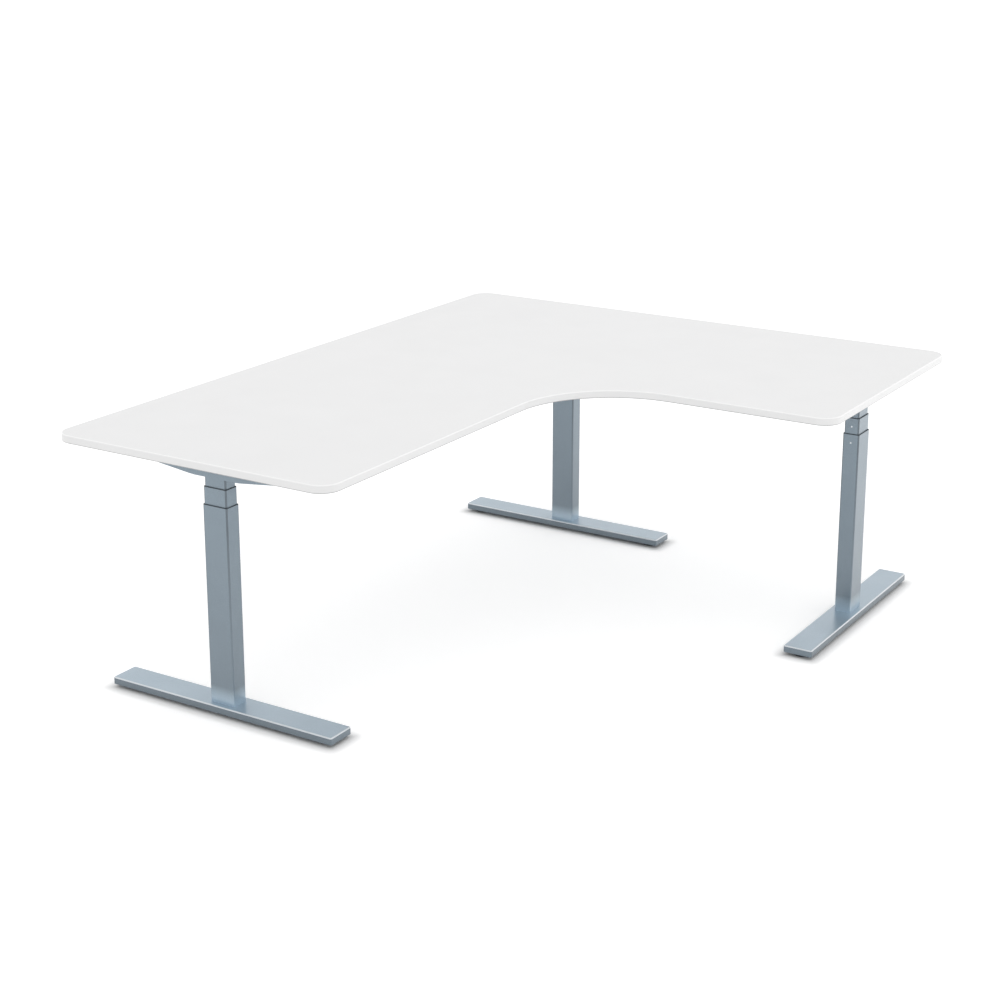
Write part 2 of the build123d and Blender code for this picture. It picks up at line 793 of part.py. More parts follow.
def save_legs():
    for name, leg in legs.items():
        save(f"{name}_foot", leg * foot())
        save(f"{name}_front_glide", leg * Pos(front_end[name] * glide_offset, 0, 0) * levelling_glide())
        save(f"{name}_rear_glide", leg * Pos(-front_end[name] * glide_offset, 0, 0) * levelling_glide())
        save(f"{name}_outer_tube", leg * outer_tube())
        save(f"{name}_middle_tube", leg * middle_tube())
        save(f"{name}_inner_tube", leg * inner_tube())
        save(f"{name}_support_arm", cut_for_bolts(leg * support_arm()))
        save(f"{name}_drive_tube", leg * drive_tube())
        save(f"{name}_lift_screw", leg * lift_screw(), leg * retaining_ring())


def save_leg_groups():
    nuts = [Pos(side * glide_offset, 0, 0) * glide_nut() for side in (-1, 1)]
    groups = {
        "glide_nuts": nuts,
        "foot_bolts": foot_bolts(),
        "column_base_plates": [column_base_plate()],
        "base_screws": [base_screw()],
        "outer_bushes": [guide_bush(outer_size, outer_top)],
        "outer_tube_screws": [tube_screw(outer_size, outer_lip)],
        "middle_bushes": [guide_bush(middle_size, middle_top)],
        "middle_tube_screws": [tube_screw(middle_size, middle_lip)],
        "middle_glide_rings": [glide_ring(middle_size, middle_bottom)],
        "middle_bearing_plates": [middle_bearing_plate()],
        "inner_glide_rings": [glide_ring(inner_size, inner_bottom)],
        "inner_nuts": [inner_nut()],
        "gear_motors": [gear_motor()],
        "motor_screws": motor_screws(),
        "column_head_plates": [column_head_plate()],
        "arm_screws": arm_screws(),
    }
    for node, pieces in groups.items():
        save(node, *[copy for piece in pieces for copy in on_every_leg(piece)])


def save_beams():
    save("main_beam", main_beam())
    save("return_beam", return_beam())
    plates = [place * end_plate(wall, depth, drops) for place, wall, depth, drops in beam_ends]
    bolts = [place * bolt for place, wall, depth, drops in beam_ends for bolt in end_bolts(wall, drops)]
    nuts = [place * nut for place, wall, depth, drops in beam_ends for nut in end_nuts(wall, drops)]
    save("beam_end_plates", *plates)
    save("beam_bolts", *bolts)
    save("beam_nuts", *nuts)


def save_controls():
    place = Pos(box_x, box_position_y, 0)
    save("control_box_base", place * control_box_base())
    save("control_box_cover", place * control_box_cover())
    save("control_board", place * control_board())
    save("control_box_screws", *[place * screw for screw in control_box_screws()])
    save("handset_case", handset_case())
    save("up_button", handset_button(1))
    save("down_button", handset_button(-1))
    save("handset_board", handset_board())
    save("handset_screws", *handset_screws())


os.makedirs("parts", exist_ok=True)
save_desktop()
save_legs()
save_leg_groups()
save_beams()
save_controls()
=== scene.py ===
import math

import bmesh
import bpy
from bpy.props import FloatProperty, FloatVectorProperty, PointerProperty
from bpy.types import Operator, Panel, PropertyGroup
from mathutils import Matrix, Vector


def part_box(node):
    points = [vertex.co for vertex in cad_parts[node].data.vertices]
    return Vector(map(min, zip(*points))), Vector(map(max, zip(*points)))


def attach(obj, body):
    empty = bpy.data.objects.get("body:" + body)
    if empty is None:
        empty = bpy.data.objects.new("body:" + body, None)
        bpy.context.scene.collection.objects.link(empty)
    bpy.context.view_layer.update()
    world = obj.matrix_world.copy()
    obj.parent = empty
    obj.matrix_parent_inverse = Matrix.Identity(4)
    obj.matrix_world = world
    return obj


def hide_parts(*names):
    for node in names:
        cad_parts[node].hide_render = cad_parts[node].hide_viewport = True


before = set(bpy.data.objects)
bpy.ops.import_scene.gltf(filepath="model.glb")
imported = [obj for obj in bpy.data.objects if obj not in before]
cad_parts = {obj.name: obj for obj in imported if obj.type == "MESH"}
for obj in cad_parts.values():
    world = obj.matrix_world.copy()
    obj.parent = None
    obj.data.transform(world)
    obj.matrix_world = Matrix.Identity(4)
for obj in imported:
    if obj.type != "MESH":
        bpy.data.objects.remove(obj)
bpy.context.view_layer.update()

bl_info = {
    "name": "Corner Lifting Desk",
    "version": (1, 0, 0),
    "blender": (4, 5, 0),
    "location": "3D View > Sidebar > Desk",
    "description": "Models and finishes a corner desk on three telescopic lifting columns",
    "category": "Object",
}

NEAR = 1e-5  # points closer than this are at one place
OVERCUT = 0.010  # how far a cutter reaches past what it cuts
QUARTER = math.radians(90)
SMOOTH_ANGLE = math.radians(35)
SOFTEN_ANGLE = math.radians(50)
BOTH_SIDES = (-1, 1)
LEGS = ("left", "corner", "right")
LEG_TURN = {"left": 0.0, "corner": 0.0, "right": QUARTER}
STAGES = (("outer", "base"), ("middle", "middle_stage"), ("inner", "top_stage"))

# Parts of a face's normal along an axis, by which faces are told apart
SLOPING, LEVEL = 0.05, 0.99
UPRIGHT_SIDE, FACING = 0.1, 0.9


def amount(name, description, default, **kind):
    return FloatProperty(name=name, description=description, default=default, **kind)


def length(name, description, default):
    return amount(name, description, default, min=0.0, unit="LENGTH", precision=4)


def colour(name, description, default):
    return FloatVectorProperty(
        name=name, description=description, default=default, size=3, min=0.0, max=1.0, subtype="COLOR"
    )


class DeskSizes(PropertyGroup):
    """Sizes of the visible pieces"""

    corner_radius: length("Corner radius", "Rounding of the outer corners of the top", 0.055)
    inner_curve: length("Inner curve", "Radius of the hollow curve where a user sits", 0.300)
    wing_width: length("Wing width", "Width of each wing of the top", 0.900)
    band_thickness: length("Edging thickness", "Thickness of the edging round the board", 0.003)
    edge_rounding: length("Edge rounding", "Rounding of the edging's upper and lower edge", 0.0025)
    foot_wall: length("Foot wall", "Sheet thickness of the folded foot", 0.0025)
    foot_corner: length("Foot corner", "Rounding of the foot's upright corners", 0.005)
    foot_arris: length("Foot arris", "Rounding of the foot's upper edges", 0.003)
    glide_hub: length("Glide hub", "Radius of the boss on a levelling glide", 0.010)
    glide_stem: length("Glide stem", "Radius of a levelling glide's stem", 0.004)
    glide_pad: length("Glide pad", "Thickness of a levelling glide's pad", 0.007)
    tube_wall: length("Tube wall", "Wall of the column tubes", 0.0015)
    tube_corner: length("Tube corner", "Rounding of the column tubes' upright corners", 0.004)
    collar_height: length("Collar height", "Height of the collar on a tube's rim", 0.002)
    collar_bore: length("Collar bore", "Wall of a collar, in to the next tube's slideway", 0.0022)
    sleeve_depth: length("Sleeve depth", "Depth of the guide sleeve under a collar", 0.040)
    screw_drop: length("Screw drop", "Distance of a guide screw below the collar's top", 0.027)
    arm_wall: length("Arm wall", "Sheet thickness of the support arms", 0.0025)
    arm_flat: length("Arm flat", "Length of an arm's deep middle", 0.150)
    arm_end: length("Arm end", "Depth of an arm at its ends", 0.0295)
    arm_bend: length("Arm bend", "Radius where an arm's middle runs into its taper", 0.250)
    beam_wall: length("Beam wall", "Wall of the beams", 0.002)
    beam_corner: length("Beam corner", "Rounding of the beams' long edges", 0.003)
    plate_width: length("Plate width", "Width of the plates on the beams' ends", 0.100)
    plate_depth: length("Plate depth", "Depth of the plates that meet an arm", 0.050)
    plate_thickness: length("Plate thickness", "Thickness of the plates on the beams' ends", 0.005)
    box_wall: length("Control box wall", "Wall of the control box", 0.0025)
    box_corner: length("Control box corner", "Rounding of the control box", 0.004)
    handset_wall: length("Handset wall", "Wall of the handset", 0.002)
    handset_corner: length("Handset corner", "Rounding of the handset", 0.003)


class DeskColours(PropertyGroup):
    """Colours of the finishes"""

    laminate: colour("Laminate", "White of the board", (0.855, 0.855, 0.857))
    edging: colour("Edging", "White of the edging", (0.91, 0.91, 0.91))
    paint: colour("Paint", "Silver paint of the legs", (0.220, 0.280, 0.330))
    # Painted highlight on the feet's rounded upper edges
    foot_arris_painted_highlight: colour("Painted highlight on feet", "Painted highlight on the feet's rounded upper edges", (0.70, 0.74, 0.77))
    # Painted dark reflection on the tubes' rounded upright corners, coming in with height
    tube_corner_painted_reflection: colour("Painted reflection on tubes", "Painted dark reflection on the tubes' upright corners", (0.11, 0.14, 0.165))
    # Painted highlight on the edging's upper rounding
    edging_painted_highlight: colour("Edging arris", "Painted highlight on the edging's upper rounding", (0.995, 0.995, 0.995))
    # Painted shade on the edging's lower rounding and underside
    edging_painted_shade: amount("Edging below", "How much painted shade darkens its lower rounding", -0.45)
    # Painted light on the feet's tops
    foot_top_painted_light: amount("Foot top", "How much painted light brightens it", 0.62)
    # Painted shade on the feet's upright sides
    foot_side_painted_shade: amount("Foot sides", "How much painted shade darkens them", -0.35)
    # Painted shade on the feet's ends
    foot_end_painted_shade: amount("Foot ends", "How much painted shade darkens them", -0.25)
    collar: colour("Collar", "Dark plastic of the collars", (0.045, 0.060, 0.072))
    pad: colour("Pad", "Black plastic of the glides", (0.018, 0.018, 0.019))
    zinc: colour("Zinc", "Plated bolts and nuts", (0.52, 0.53, 0.54))
    steel: colour("Steel", "Oiled steel of the drive", (0.42, 0.42, 0.43))
    bright_steel: colour("Bright steel", "Heads of the guide screws", (0.80, 0.83, 0.85))
    guide: colour("Guide plastic", "Bearing plastic in the columns", (0.72, 0.71, 0.66))
    motor: colour("Motor", "Black paint of the gear motors", (0.060, 0.061, 0.066))
    plastic: colour("Control plastic", "Black plastic of the control box and handset", (0.026, 0.026, 0.029))
    button: colour("Button", "Grey plastic of the buttons", (0.24, 0.25, 0.26))
    mark: colour("Button mark", "Raised arrows on the buttons", (0.78, 0.79, 0.80))
    board_green: colour("Circuit board", "Lacquer of the circuit boards", (0.015, 0.105, 0.045))
    board_track: colour("Circuit tracks", "Lacquer over the copper tracks", (0.05, 0.20, 0.09))
    floor: colour("Floor", "Pale studio floor", (0.88, 0.88, 0.88))


class DeskStage(PropertyGroup):
    """Light and camera"""

    room_light: amount("Room light", "Even light from all round", 0.90, min=0.0)
    top_light: amount("Top light", "Soft light overhead", 11.0, unit="POWER")
    side_light: amount("Side light", "Soft light on the right", 28.0, unit="POWER")
    floor_lift: amount("Floor lift", "Glow that keeps the floor white", 0.36, min=0.0)
    shadow_reach: length("Shadow reach", "How far from a foot the floor's glow is back at its full", 0.032)
    camera_place: FloatVectorProperty(
        name="Camera", description="Where the camera stands", default=(2.7287, -4.5546, 2.1564),
        subtype="TRANSLATION"
    )
    camera_pitch: amount("Pitch", "How far it looks down", 0.2662, subtype="ANGLE")
    camera_turn: amount("Turn", "How far it looks to the left", 0.5583, subtype="ANGLE")
    camera_lens: amount("Lens", "Focal length in millimetres", 69.32, min=1.0)
    camera_shift: amount("Shift", "Share of the frame that the view is moved up", -0.1)


# Modelling steps

def clear_selection():
    if bpy.context.mode != "OBJECT":
        bpy.ops.object.mode_set(mode="OBJECT")
    bpy.ops.object.select_all(action="DESELECT")


def choose(piece):
    clear_selection()
    piece.select_set(True)
    bpy.context.view_layer.objects.active = piece


def open_mesh(piece):
    choose(piece)
    bpy.ops.object.mode_set(mode="EDIT")


def settle(name):
    """Name the active piece and put its place into its mesh."""
    bpy.ops.object.transform_apply(location=True, rotation=True, scale=True)
    piece = bpy.context.object
    piece.name = name
    piece.data.name = name
    return piece


def standing(x, y, bottom, half_x, half_y, height):
    """The two corners of a block that stands round a point."""
    return (x - half_x, y - half_y, bottom), (x + half_x, y + half_y, bottom + height)


def add_block(name, low, high):
    clear_selection()
    low, high = Vector(low), Vector(high)
    bpy.ops.mesh.primitive_cube_add(size=1.0, location=(low + high) / 2)
    bpy.context.object.scale = high - low
    return settle(name)


def add_rod(name, radius, bottom, top, sides):
    """Upright round bar on the Z axis."""
    clear_selection()
    bpy.ops.mesh.primitive_cylinder_add(
        vertices=sides, radius=radius, depth=top - bottom, location=(0, 0, (bottom + top) / 2)
    )
    return settle(name)


def pick(kind, rule):
    """Select only the corners, edges or faces of the open mesh that pass a rule."""
    bpy.ops.mesh.select_mode(type=kind)
    bpy.ops.mesh.select_all(action="DESELECT")
    data = bpy.context.object.data
    mesh = bmesh.from_edit_mesh(data)
    items = {"VERT": mesh.verts, "EDGE": mesh.edges, "FACE": mesh.faces}[kind]
    for item in items:
        if rule(item):
            item.select_set(True)
    mesh.select_flush_mode()
    bmesh.update_edit_mesh(data)


def at_height(*heights):
    return lambda item: any(all(abs(v.co.z - z) < NEAR for v in item.verts) for z in heights)


def upright(edge):
    first, second = (v.co for v in edge.verts)
    return (first - second).xy.length < NEAR


def bevel(kind, rule, width, segments):
    pick("VERT" if kind == "VERTICES" else "EDGE", rule)
    bpy.ops.mesh.bevel(offset=width, offset_type="OFFSET", segments=segments, profile=0.5, affect=kind)


def rounded(piece, *bevels):
    """Open a piece, bevel it by each rule in turn and close it."""
    open_mesh(piece)
    for kind, rule, width, segments in bevels:
        bevel(kind, rule, width, segments)
    clear_selection()
    return piece


def mark(label, value):
    """Tag the selected faces, for the finishes that change at an edge or from face to face."""
    data = bpy.context.object.data
    mesh = bmesh.from_edit_mesh(data)
    layer = mesh.faces.layers.float.get(label) or mesh.faces.layers.float.new(label)
    for face in mesh.faces:
        if face.select:
            face[layer] = value
    bmesh.update_edit_mesh(data)


def mark_faces(rule, label, value):
    pick("FACE", rule)
    mark(label, value)


def inset(width):
    bpy.ops.mesh.inset(thickness=width, use_even_offset=True)


def extrude(move):
    bpy.ops.mesh.extrude_region_move(TRANSFORM_OT_translate={"value": move})


def face_outwards():
    bpy.ops.mesh.select_all(action="SELECT")
    bpy.ops.mesh.normals_make_consistent(inside=False)


def join_openings():
    """Take out the selected faces and wall the two openings together."""
    bpy.ops.mesh.delete(type="ONLY_FACE")
    bpy.ops.mesh.select_mode(type="EDGE")
    bpy.ops.mesh.select_all(action="DESELECT")
    bpy.ops.mesh.select_non_manifold(
        extend=False, use_wire=False, use_multi_face=False, use_non_contiguous=False, use_verts=False
    )
    bpy.ops.mesh.bridge_edge_loops()
    face_outwards()


def apply_modifier(piece, kind, **settings):
    choose(piece)
    modifier = piece.modifiers.new(kind, kind)
    for key, value in settings.items():
        setattr(modifier, key, value)
    bpy.ops.object.modifier_apply(modifier=modifier.name)


def cut(piece, cutter):
    apply_modifier(piece, "BOOLEAN", operation="DIFFERENCE", solver="EXACT", object=cutter)
    bpy.data.objects.remove(cutter)


def soften(piece, width):
    apply_modifier(piece, "BEVEL", width=width, segments=2, limit_method="ANGLE", angle_limit=SOFTEN_ANGLE)


def hollow(piece, wall, *open_ends):
    """Take off the faces at the open ends and give the others a wall inwards."""
    pick("FACE", at_height(*open_ends))
    bpy.ops.mesh.delete(type="FACE")
    apply_modifier(piece, "SOLIDIFY", thickness=wall, offset=-1.0, use_even_offset=True)
    return piece


def shade(piece):
    choose(piece)
    bpy.ops.object.shade_smooth_by_angle(angle=SMOOTH_ANGLE)
    apply_modifier(piece, "WEIGHTED_NORMAL", keep_sharp=True)
    return piece


def copy_to(piece, name, place):
    choose(piece)
    bpy.ops.object.duplicate(linked=False)
    bpy.context.object.matrix_world = place
    return settle(name)


def merge(name, pieces):
    clear_selection()
    for piece in pieces:
        piece.select_set(True)
    bpy.context.view_layer.objects.active = pieces[0]
    if len(pieces) > 1:
        bpy.ops.object.join()
    return settle(name)


def copies(piece, name, places):
    """One piece made of a copy at each place. The pattern is used up."""
    made = [copy_to(piece, name, place) for place in places]
    bpy.data.objects.remove(piece)
    return merge(name, made)


def dress(piece, look):
    """Give a piece one finish."""
    piece.data.materials.clear()
    piece.data.materials.append(finish(look))


def fit(piece, body, slot, node, look=None):
    """Finish a piece and set it in the frame in place of its node."""
    dress(piece, look or slot)
    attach(piece, body)
    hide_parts(node)


def add_part(piece, part, look):
    """Join a part with a finish of its own to a fitted piece."""
    dress(part, look)
    choose(piece)
    part.select_set(True)
    bpy.ops.object.join()


def node_size(node):
    low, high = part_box(node)
    return high - low


def middle_of(node):
    low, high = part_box(node)
    return (low + high) / 2


def shift(x, y, z):
    return Matrix.Translation((x, y, z))


def turn(angle, axis):
    return Matrix.Rotation(angle, 4, axis)


def leg_place(leg):
    middle = middle_of(f"{leg}_outer_tube")
    return shift(middle.x, middle.y, 0) @ turn(LEG_TURN[leg], "Z")


def leg_places(local=Matrix.Identity(4)):
    return [leg_place(leg) @ local for leg in LEGS]


def beside_legs(height, *reaches):
    """Places on both sides of each leg, at those distances along its foot."""
    steps = [side * reach for side in BOTH_SIDES for reach in reaches]
    return [place @ shift(step, 0, height) for place in leg_places() for step in steps]


def on_each_leg(piece, name, body, slot, node, look=None):
    for leg in LEGS:
        fit(copy_to(piece, f"{leg}_{name}", leg_place(leg)), body, slot, f"{leg}_{node}", look=look)
    bpy.data.objects.remove(piece)


# Finishes

GREY = (0.5, 0.5, 0.5, 1.0)
FINISH_ENDING = "_finish"
COAT_ROUGHNESS = 0.25
MORTAR_WIDTH = 0.06
LINE_STRETCH = (1.0, 1.0, 0.03)

# Heights between which the painted highlights and dark reflections on rims come in, and a column's painted
# bounce light and painted shade fade out
RIM_EVERYWHERE = (-1.0, -0.9)
RIM_ON_COLUMN = (0.08, 0.52)
LIGHT_FADE = (0.03, 0.08)
DARK_FADE = (0.10, 0.58)


def new_group(name, *outputs, **inputs):
    """Node group with named sockets, together with what it is given and what it puts out."""
    group = bpy.data.node_groups.new(name, "ShaderNodeTree")
    for label, value in inputs.items():
        width = len(value) if isinstance(value, tuple) else 1
        kind = {1: "NodeSocketFloat", 3: "NodeSocketVector", 4: "NodeSocketColor"}[width]
        group.interface.new_socket(name=label, in_out="INPUT", socket_type=kind).default_value = value
    for label in outputs:
        kind = "NodeSocketColor" if label == "Color" else "NodeSocketFloat"
        group.interface.new_socket(name=label, in_out="OUTPUT", socket_type=kind)
    return group, group.nodes.new("NodeGroupInput").outputs, group.nodes.new("NodeGroupOutput").inputs


def add_node(tree, kind, **settings):
    node = tree.nodes.new("ShaderNode" + kind)
    for key, value in settings.items():
        setattr(node, key, value)
    return node


def feed(tree, socket, value):
    """Set a socket to a number or link it to another socket."""
    if isinstance(value, (int, float)):
        socket.default_value = value
    else:
        tree.links.new(value, socket)


def math_node(tree, operation, first, second):
    node = add_node(tree, "Math", operation=operation)
    feed(tree, node.inputs[0], first)
    feed(tree, node.inputs[1], second)
    return node.outputs[0]


def on_piece(tree):
    """The piece's own coordinates."""
    return add_node(tree, "TexCoord").outputs["Object"]


def texture(tree, kind, scale, place=None, **settings):
    node = add_node(tree, "Tex" + kind, **settings)
    feed(tree, node.inputs["Vector"], on_piece(tree) if place is None else place)
    feed(tree, node.inputs["Scale"], scale)
    return node


def noise(tree, scale, detail=3.0, place=None):
    node = texture(tree, "Noise", scale, place)
    node.inputs["Detail"].default_value = detail
    return node.outputs["Fac"]


def spread(tree, value, low, high, start=0.3, stop=0.7):
    """Low at the start of a range of values, high at its stop."""
    node = add_node(tree, "MapRange")
    ends = {"Value": value, "To Min": low, "To Max": high, "From Min": start, "From Max": stop}
    for label, end in ends.items():
        feed(tree, node.inputs[label], end)
    return node.outputs["Result"]


def put_out_scaled(group, given, out, factor):
    node = add_node(group, "VectorMath", operation="SCALE")
    feed(group, node.inputs[0], given["Base"])
    feed(group, node.inputs["Scale"], factor)
    feed(group, out["Color"], node.outputs["Vector"])


def put_out_varied(group, given, out, value, *ends):
    """The base colour, lighter and darker by the given amount as a value goes up and down."""
    low = math_node(group, "SUBTRACT", 1.0, given["Amount"])
    high = math_node(group, "ADD", 1.0, given["Amount"])
    put_out_scaled(group, given, out, spread(group, value, low, high, *ends))


def object_height(group):
    place = add_node(group, "SeparateXYZ")
    feed(group, place.inputs[0], on_piece(group))
    return place.outputs["Z"]


def make_tone_drift():
    """Slow change of tone over a surface."""
    group, given, out = new_group("Tone drift", "Color", Base=GREY, Scale=5.0, Amount=0.02)
    put_out_varied(group, given, out, noise(group, given["Scale"]))


def make_gloss_drift():
    """Patches that shine a little more or less."""
    group, given, out = new_group("Gloss drift", "Roughness", Scale=6.0, Low=0.3, High=0.4)
    patches = noise(group, given["Scale"], detail=5.0)
    feed(group, out["Roughness"], spread(group, patches, given["Low"], given["High"]))


def make_fine_grain():
    """Fine even relief, as on moulded plastic, laminate and paint."""
    group, given, out = new_group("Fine grain", "Height", Scale=900.0)
    feed(group, out["Height"], noise(group, given["Scale"], detail=2.0))


def make_paint_flake():
    """Metal flakes in paint, each a little lighter or darker."""
    group, given, out = new_group("Paint flake", "Color", Base=GREY, Scale=1500.0, Amount=0.1)
    parts = add_node(group, "SeparateColor")
    feed(group, parts.inputs["Color"], texture(group, "Voronoi", given["Scale"]).outputs["Color"])
    put_out_varied(group, given, out, parts.outputs["Red"], 0.0, 1.0)


def make_painted_foot_bounce():
    """Painted bounce light where a column meets its foot, and a little painted shade just above."""
    group, given, out = new_group("Painted foot bounce", "Color", Base=GREY, Light=0.0, Dark=0.0)
    height = object_height(group)
    light = spread(group, height, given["Light"], 0.0, *LIGHT_FADE)
    dark = spread(group, height, given["Dark"], 0.0, *DARK_FADE)
    factor = math_node(group, "ADD", math_node(group, "ADD", light, dark), 1.0)
    put_out_scaled(group, given, out, factor)


def make_painted_rim_reflection():
    """Painted highlight and painted dark reflection on the faces that are tagged as rim, uneven in patches.
    It comes in with height.
    """
    start, full = RIM_EVERYWHERE
    group, given, out = new_group("Painted rim reflection", "Color", Base=GREY, Rim=GREY, Start=start, Full=full)
    tag = add_node(group, "Attribute", attribute_name="rim").outputs["Fac"]
    patch = spread(group, noise(group, scale=30.0), low=0.85, high=1.0)
    rise = spread(group, object_height(group), 0.0, 1.0, given["Start"], given["Full"])
    mask = math_node(group, "MULTIPLY", math_node(group, "MULTIPLY", tag, rise), patch)
    mix = add_node(group, "Mix", data_type="RGBA")
    for label, source in (("Factor", mask), ("A", given["Base"]), ("B", given["Rim"])):
        feed(group, mix.inputs[label], source)
    feed(group, out["Color"], mix.outputs["Result"])


def make_painted_face_shading():
    """Painted light and painted shade on faces that are tagged with a tone, lighter or darker than the paint.
    """
    group, given, out = new_group("Painted face shading", "Color", Base=GREY)
    tag = add_node(group, "Attribute", attribute_name="tone").outputs["Fac"]
    put_out_scaled(group, given, out, math_node(group, "ADD", tag, 1.0))


def make_draw_lines():
    """Fine lines along Z, as drawing or grinding leaves them on steel."""
    group, given, out = new_group("Draw lines", "Height", Scale=300.0)
    mapping = add_node(group, "Mapping")
    mapping.inputs["Scale"].default_value = LINE_STRETCH
    feed(group, mapping.inputs["Vector"], on_piece(group))
    feed(group, out["Height"], noise(group, given["Scale"], detail=2.0, place=mapping.outputs["Vector"]))


def make_thread_ridges():
    """Ridges up a screw."""
    group, given, out = new_group("Thread ridges", "Height", Scale=80.0)
    wave = texture(group, "Wave", given["Scale"], bands_direction="Z", wave_profile="TRI")
    feed(group, out["Height"], wave.outputs["Fac"])


def make_board_tracks():
    """Copper tracks under the lacquer of a circuit board."""
    group, given, out = new_group("Board tracks", "Color", Base=GREY, Track=GREY, Scale=90.0)
    bricks = texture(group, "Brick", given["Scale"])
    bricks.inputs["Mortar Size"].default_value = MORTAR_WIDTH
    for label, source in (("Color1", "Base"), ("Color2", "Base"), ("Mortar", "Track")):
        feed(group, bricks.inputs[label], given[source])
    feed(group, out["Color"], bricks.outputs["Color"])


def use_group(tree, name, **values):
    node = add_node(tree, "Group", node_tree=bpy.data.node_groups[name])
    for label, value in values.items():
        socket = node.inputs[label]
        socket.default_value = (*value, 1.0) if socket.type == "RGBA" else value
    return node


def tinted(tree, tint, name, **values):
    """A colour after a group has changed it."""
    node = use_group(tree, name, **values)
    feed(tree, node.inputs["Base"], tint)
    return node.outputs["Color"]


def build_finish(name, base, drift, gloss, relief, bump, rim=None, rise=RIM_EVERYWHERE, fade=None,
                 flake=None, tracks=None, metallic=0.0, coat=0.0):
    """A finish from its colour, the scale and amount of its drift, the scale and range of its roughness,
    the kind and scale of its relief, and the relief's strength and depth."""
    material = bpy.data.materials.new(name + FINISH_ENDING)
    material.use_nodes = True
    tree = material.node_tree
    shader = tree.nodes["Principled BSDF"].inputs
    tint = use_group(tree, "Tone drift", Base=base, Scale=drift[0], Amount=drift[1]).outputs["Color"]
    if flake is not None:
        tint = tinted(tree, tint, "Paint flake", Scale=flake[0], Amount=flake[1])
    # Painted bounce light low on a column and painted shade above it
    if fade is not None:
        tint = tinted(tree, tint, "Painted foot bounce", Light=fade[0], Dark=fade[1])
    # Painted light and shade by face, then painted highlights and dark reflections on the rims
    if rim is not None:
        tint = tinted(tree, tint, "Painted face shading")
        tint = tinted(tree, tint, "Painted rim reflection", Rim=rim, Start=rise[0], Full=rise[1])
    if tracks is not None:
        tint = tinted(tree, tint, "Board tracks", Track=tracks)
    shine = use_group(tree, "Gloss drift", Scale=gloss[0], Low=gloss[1], High=gloss[2])
    dent = add_node(tree, "Bump")
    dent.inputs["Strength"].default_value, dent.inputs["Distance"].default_value = bump
    feed(tree, dent.inputs["Height"], use_group(tree, relief[0], Scale=relief[1]).outputs["Height"])
    feed(tree, shader["Base Color"], tint)
    feed(tree, shader["Roughness"], shine.outputs["Roughness"])
    feed(tree, shader["Normal"], dent.outputs["Normal"])
    feed(tree, shader["Metallic"], metallic)
    feed(tree, shader["Coat Weight"], coat)
    feed(tree, shader["Coat Roughness"], COAT_ROUGHNESS)


def make_finishes(tones):
    grain, lines, ridges = "Fine grain", "Draw lines", "Thread ridges"
    build_finish("white_laminate", tones.laminate, (6, 0.006), (9, 0.36, 0.46), (grain, 1400), (0.10, 0.0002))
    # The edging has a painted highlight on its upper rounding and painted shade below
    build_finish("white_edging", tones.edging, (8, 0.008), (14, 0.30, 0.40), (grain, 1800), (0.08, 0.0002),
                 rim=tones.edging_painted_highlight, coat=0.1)
    paint = dict(flake=(1400, 0.10), metallic=0.55, coat=0.8)
    # Silver paint: on the feet, a painted highlight on the rounded upper edges
    build_finish("silver_paint", tones.paint, (7, 0.02), (10, 0.32, 0.42), (grain, 1600), (0.10, 0.0002),
                 rim=tones.foot_arris_painted_highlight, **paint)
    # Column paint: a painted dark reflection on the tubes' corners that comes in with height, painted bounce
    # light where a column meets its foot and painted shade above it
    build_finish("tube_paint", tones.paint, (7, 0.02), (10, 0.32, 0.42), (grain, 1600), (0.10, 0.0002),
                 rim=tones.tube_corner_painted_reflection, rise=RIM_ON_COLUMN, fade=(1.3, -0.18), **paint)
    build_finish("beam_paint", tones.paint, (9, 0.03), (12, 0.36, 0.48), (grain, 1500), (0.12, 0.0002),
                 **paint)
    build_finish("dark_collar", tones.collar, (40, 0.05), (60, 0.45, 0.58), (grain, 2200), (0.25, 0.0003))
    build_finish("black_pad", tones.pad, (60, 0.08), (80, 0.55, 0.72), (grain, 2600), (0.35, 0.0004))
    build_finish("bush_screw_steel", tones.bright_steel, (90, 0.03), (120, 0.22, 0.34), (lines, 1200),
                 (0.10, 0.0002), metallic=1.0)
    build_finish("zinc_steel", tones.zinc, (120, 0.06), (90, 0.30, 0.46), (grain, 1900), (0.18, 0.0003),
                 flake=(420, 0.10), metallic=0.9)
    build_finish("screw_steel", tones.steel, (60, 0.05), (70, 0.30, 0.42), (ridges, 80), (0.6, 0.001),
                 metallic=1.0)
    build_finish("guide_plastic", tones.guide, (30, 0.03), (50, 0.42, 0.55), (grain, 1800), (0.15, 0.0003))
    build_finish("motor_steel", tones.motor, (40, 0.06), (60, 0.40, 0.52), (lines, 500), (0.15, 0.0003),
                 metallic=0.3)
    build_finish("control_plastic", tones.plastic, (50, 0.06), (60, 0.48, 0.60), (grain, 1300),
                 (0.45, 0.0005))
    build_finish("button_plastic", tones.button, (80, 0.04), (90, 0.40, 0.50), (grain, 2400), (0.20, 0.0003))
    build_finish("button_mark", tones.mark, (90, 0.02), (90, 0.38, 0.46), (grain, 2600), (0.12, 0.0002))
    build_finish("circuit_board", tones.board_green, (70, 0.05), (90, 0.30, 0.40), (grain, 900),
                 (0.15, 0.0003), tracks=tones.board_track)


def finish(name):
    return bpy.data.materials[name + FINISH_ENDING]


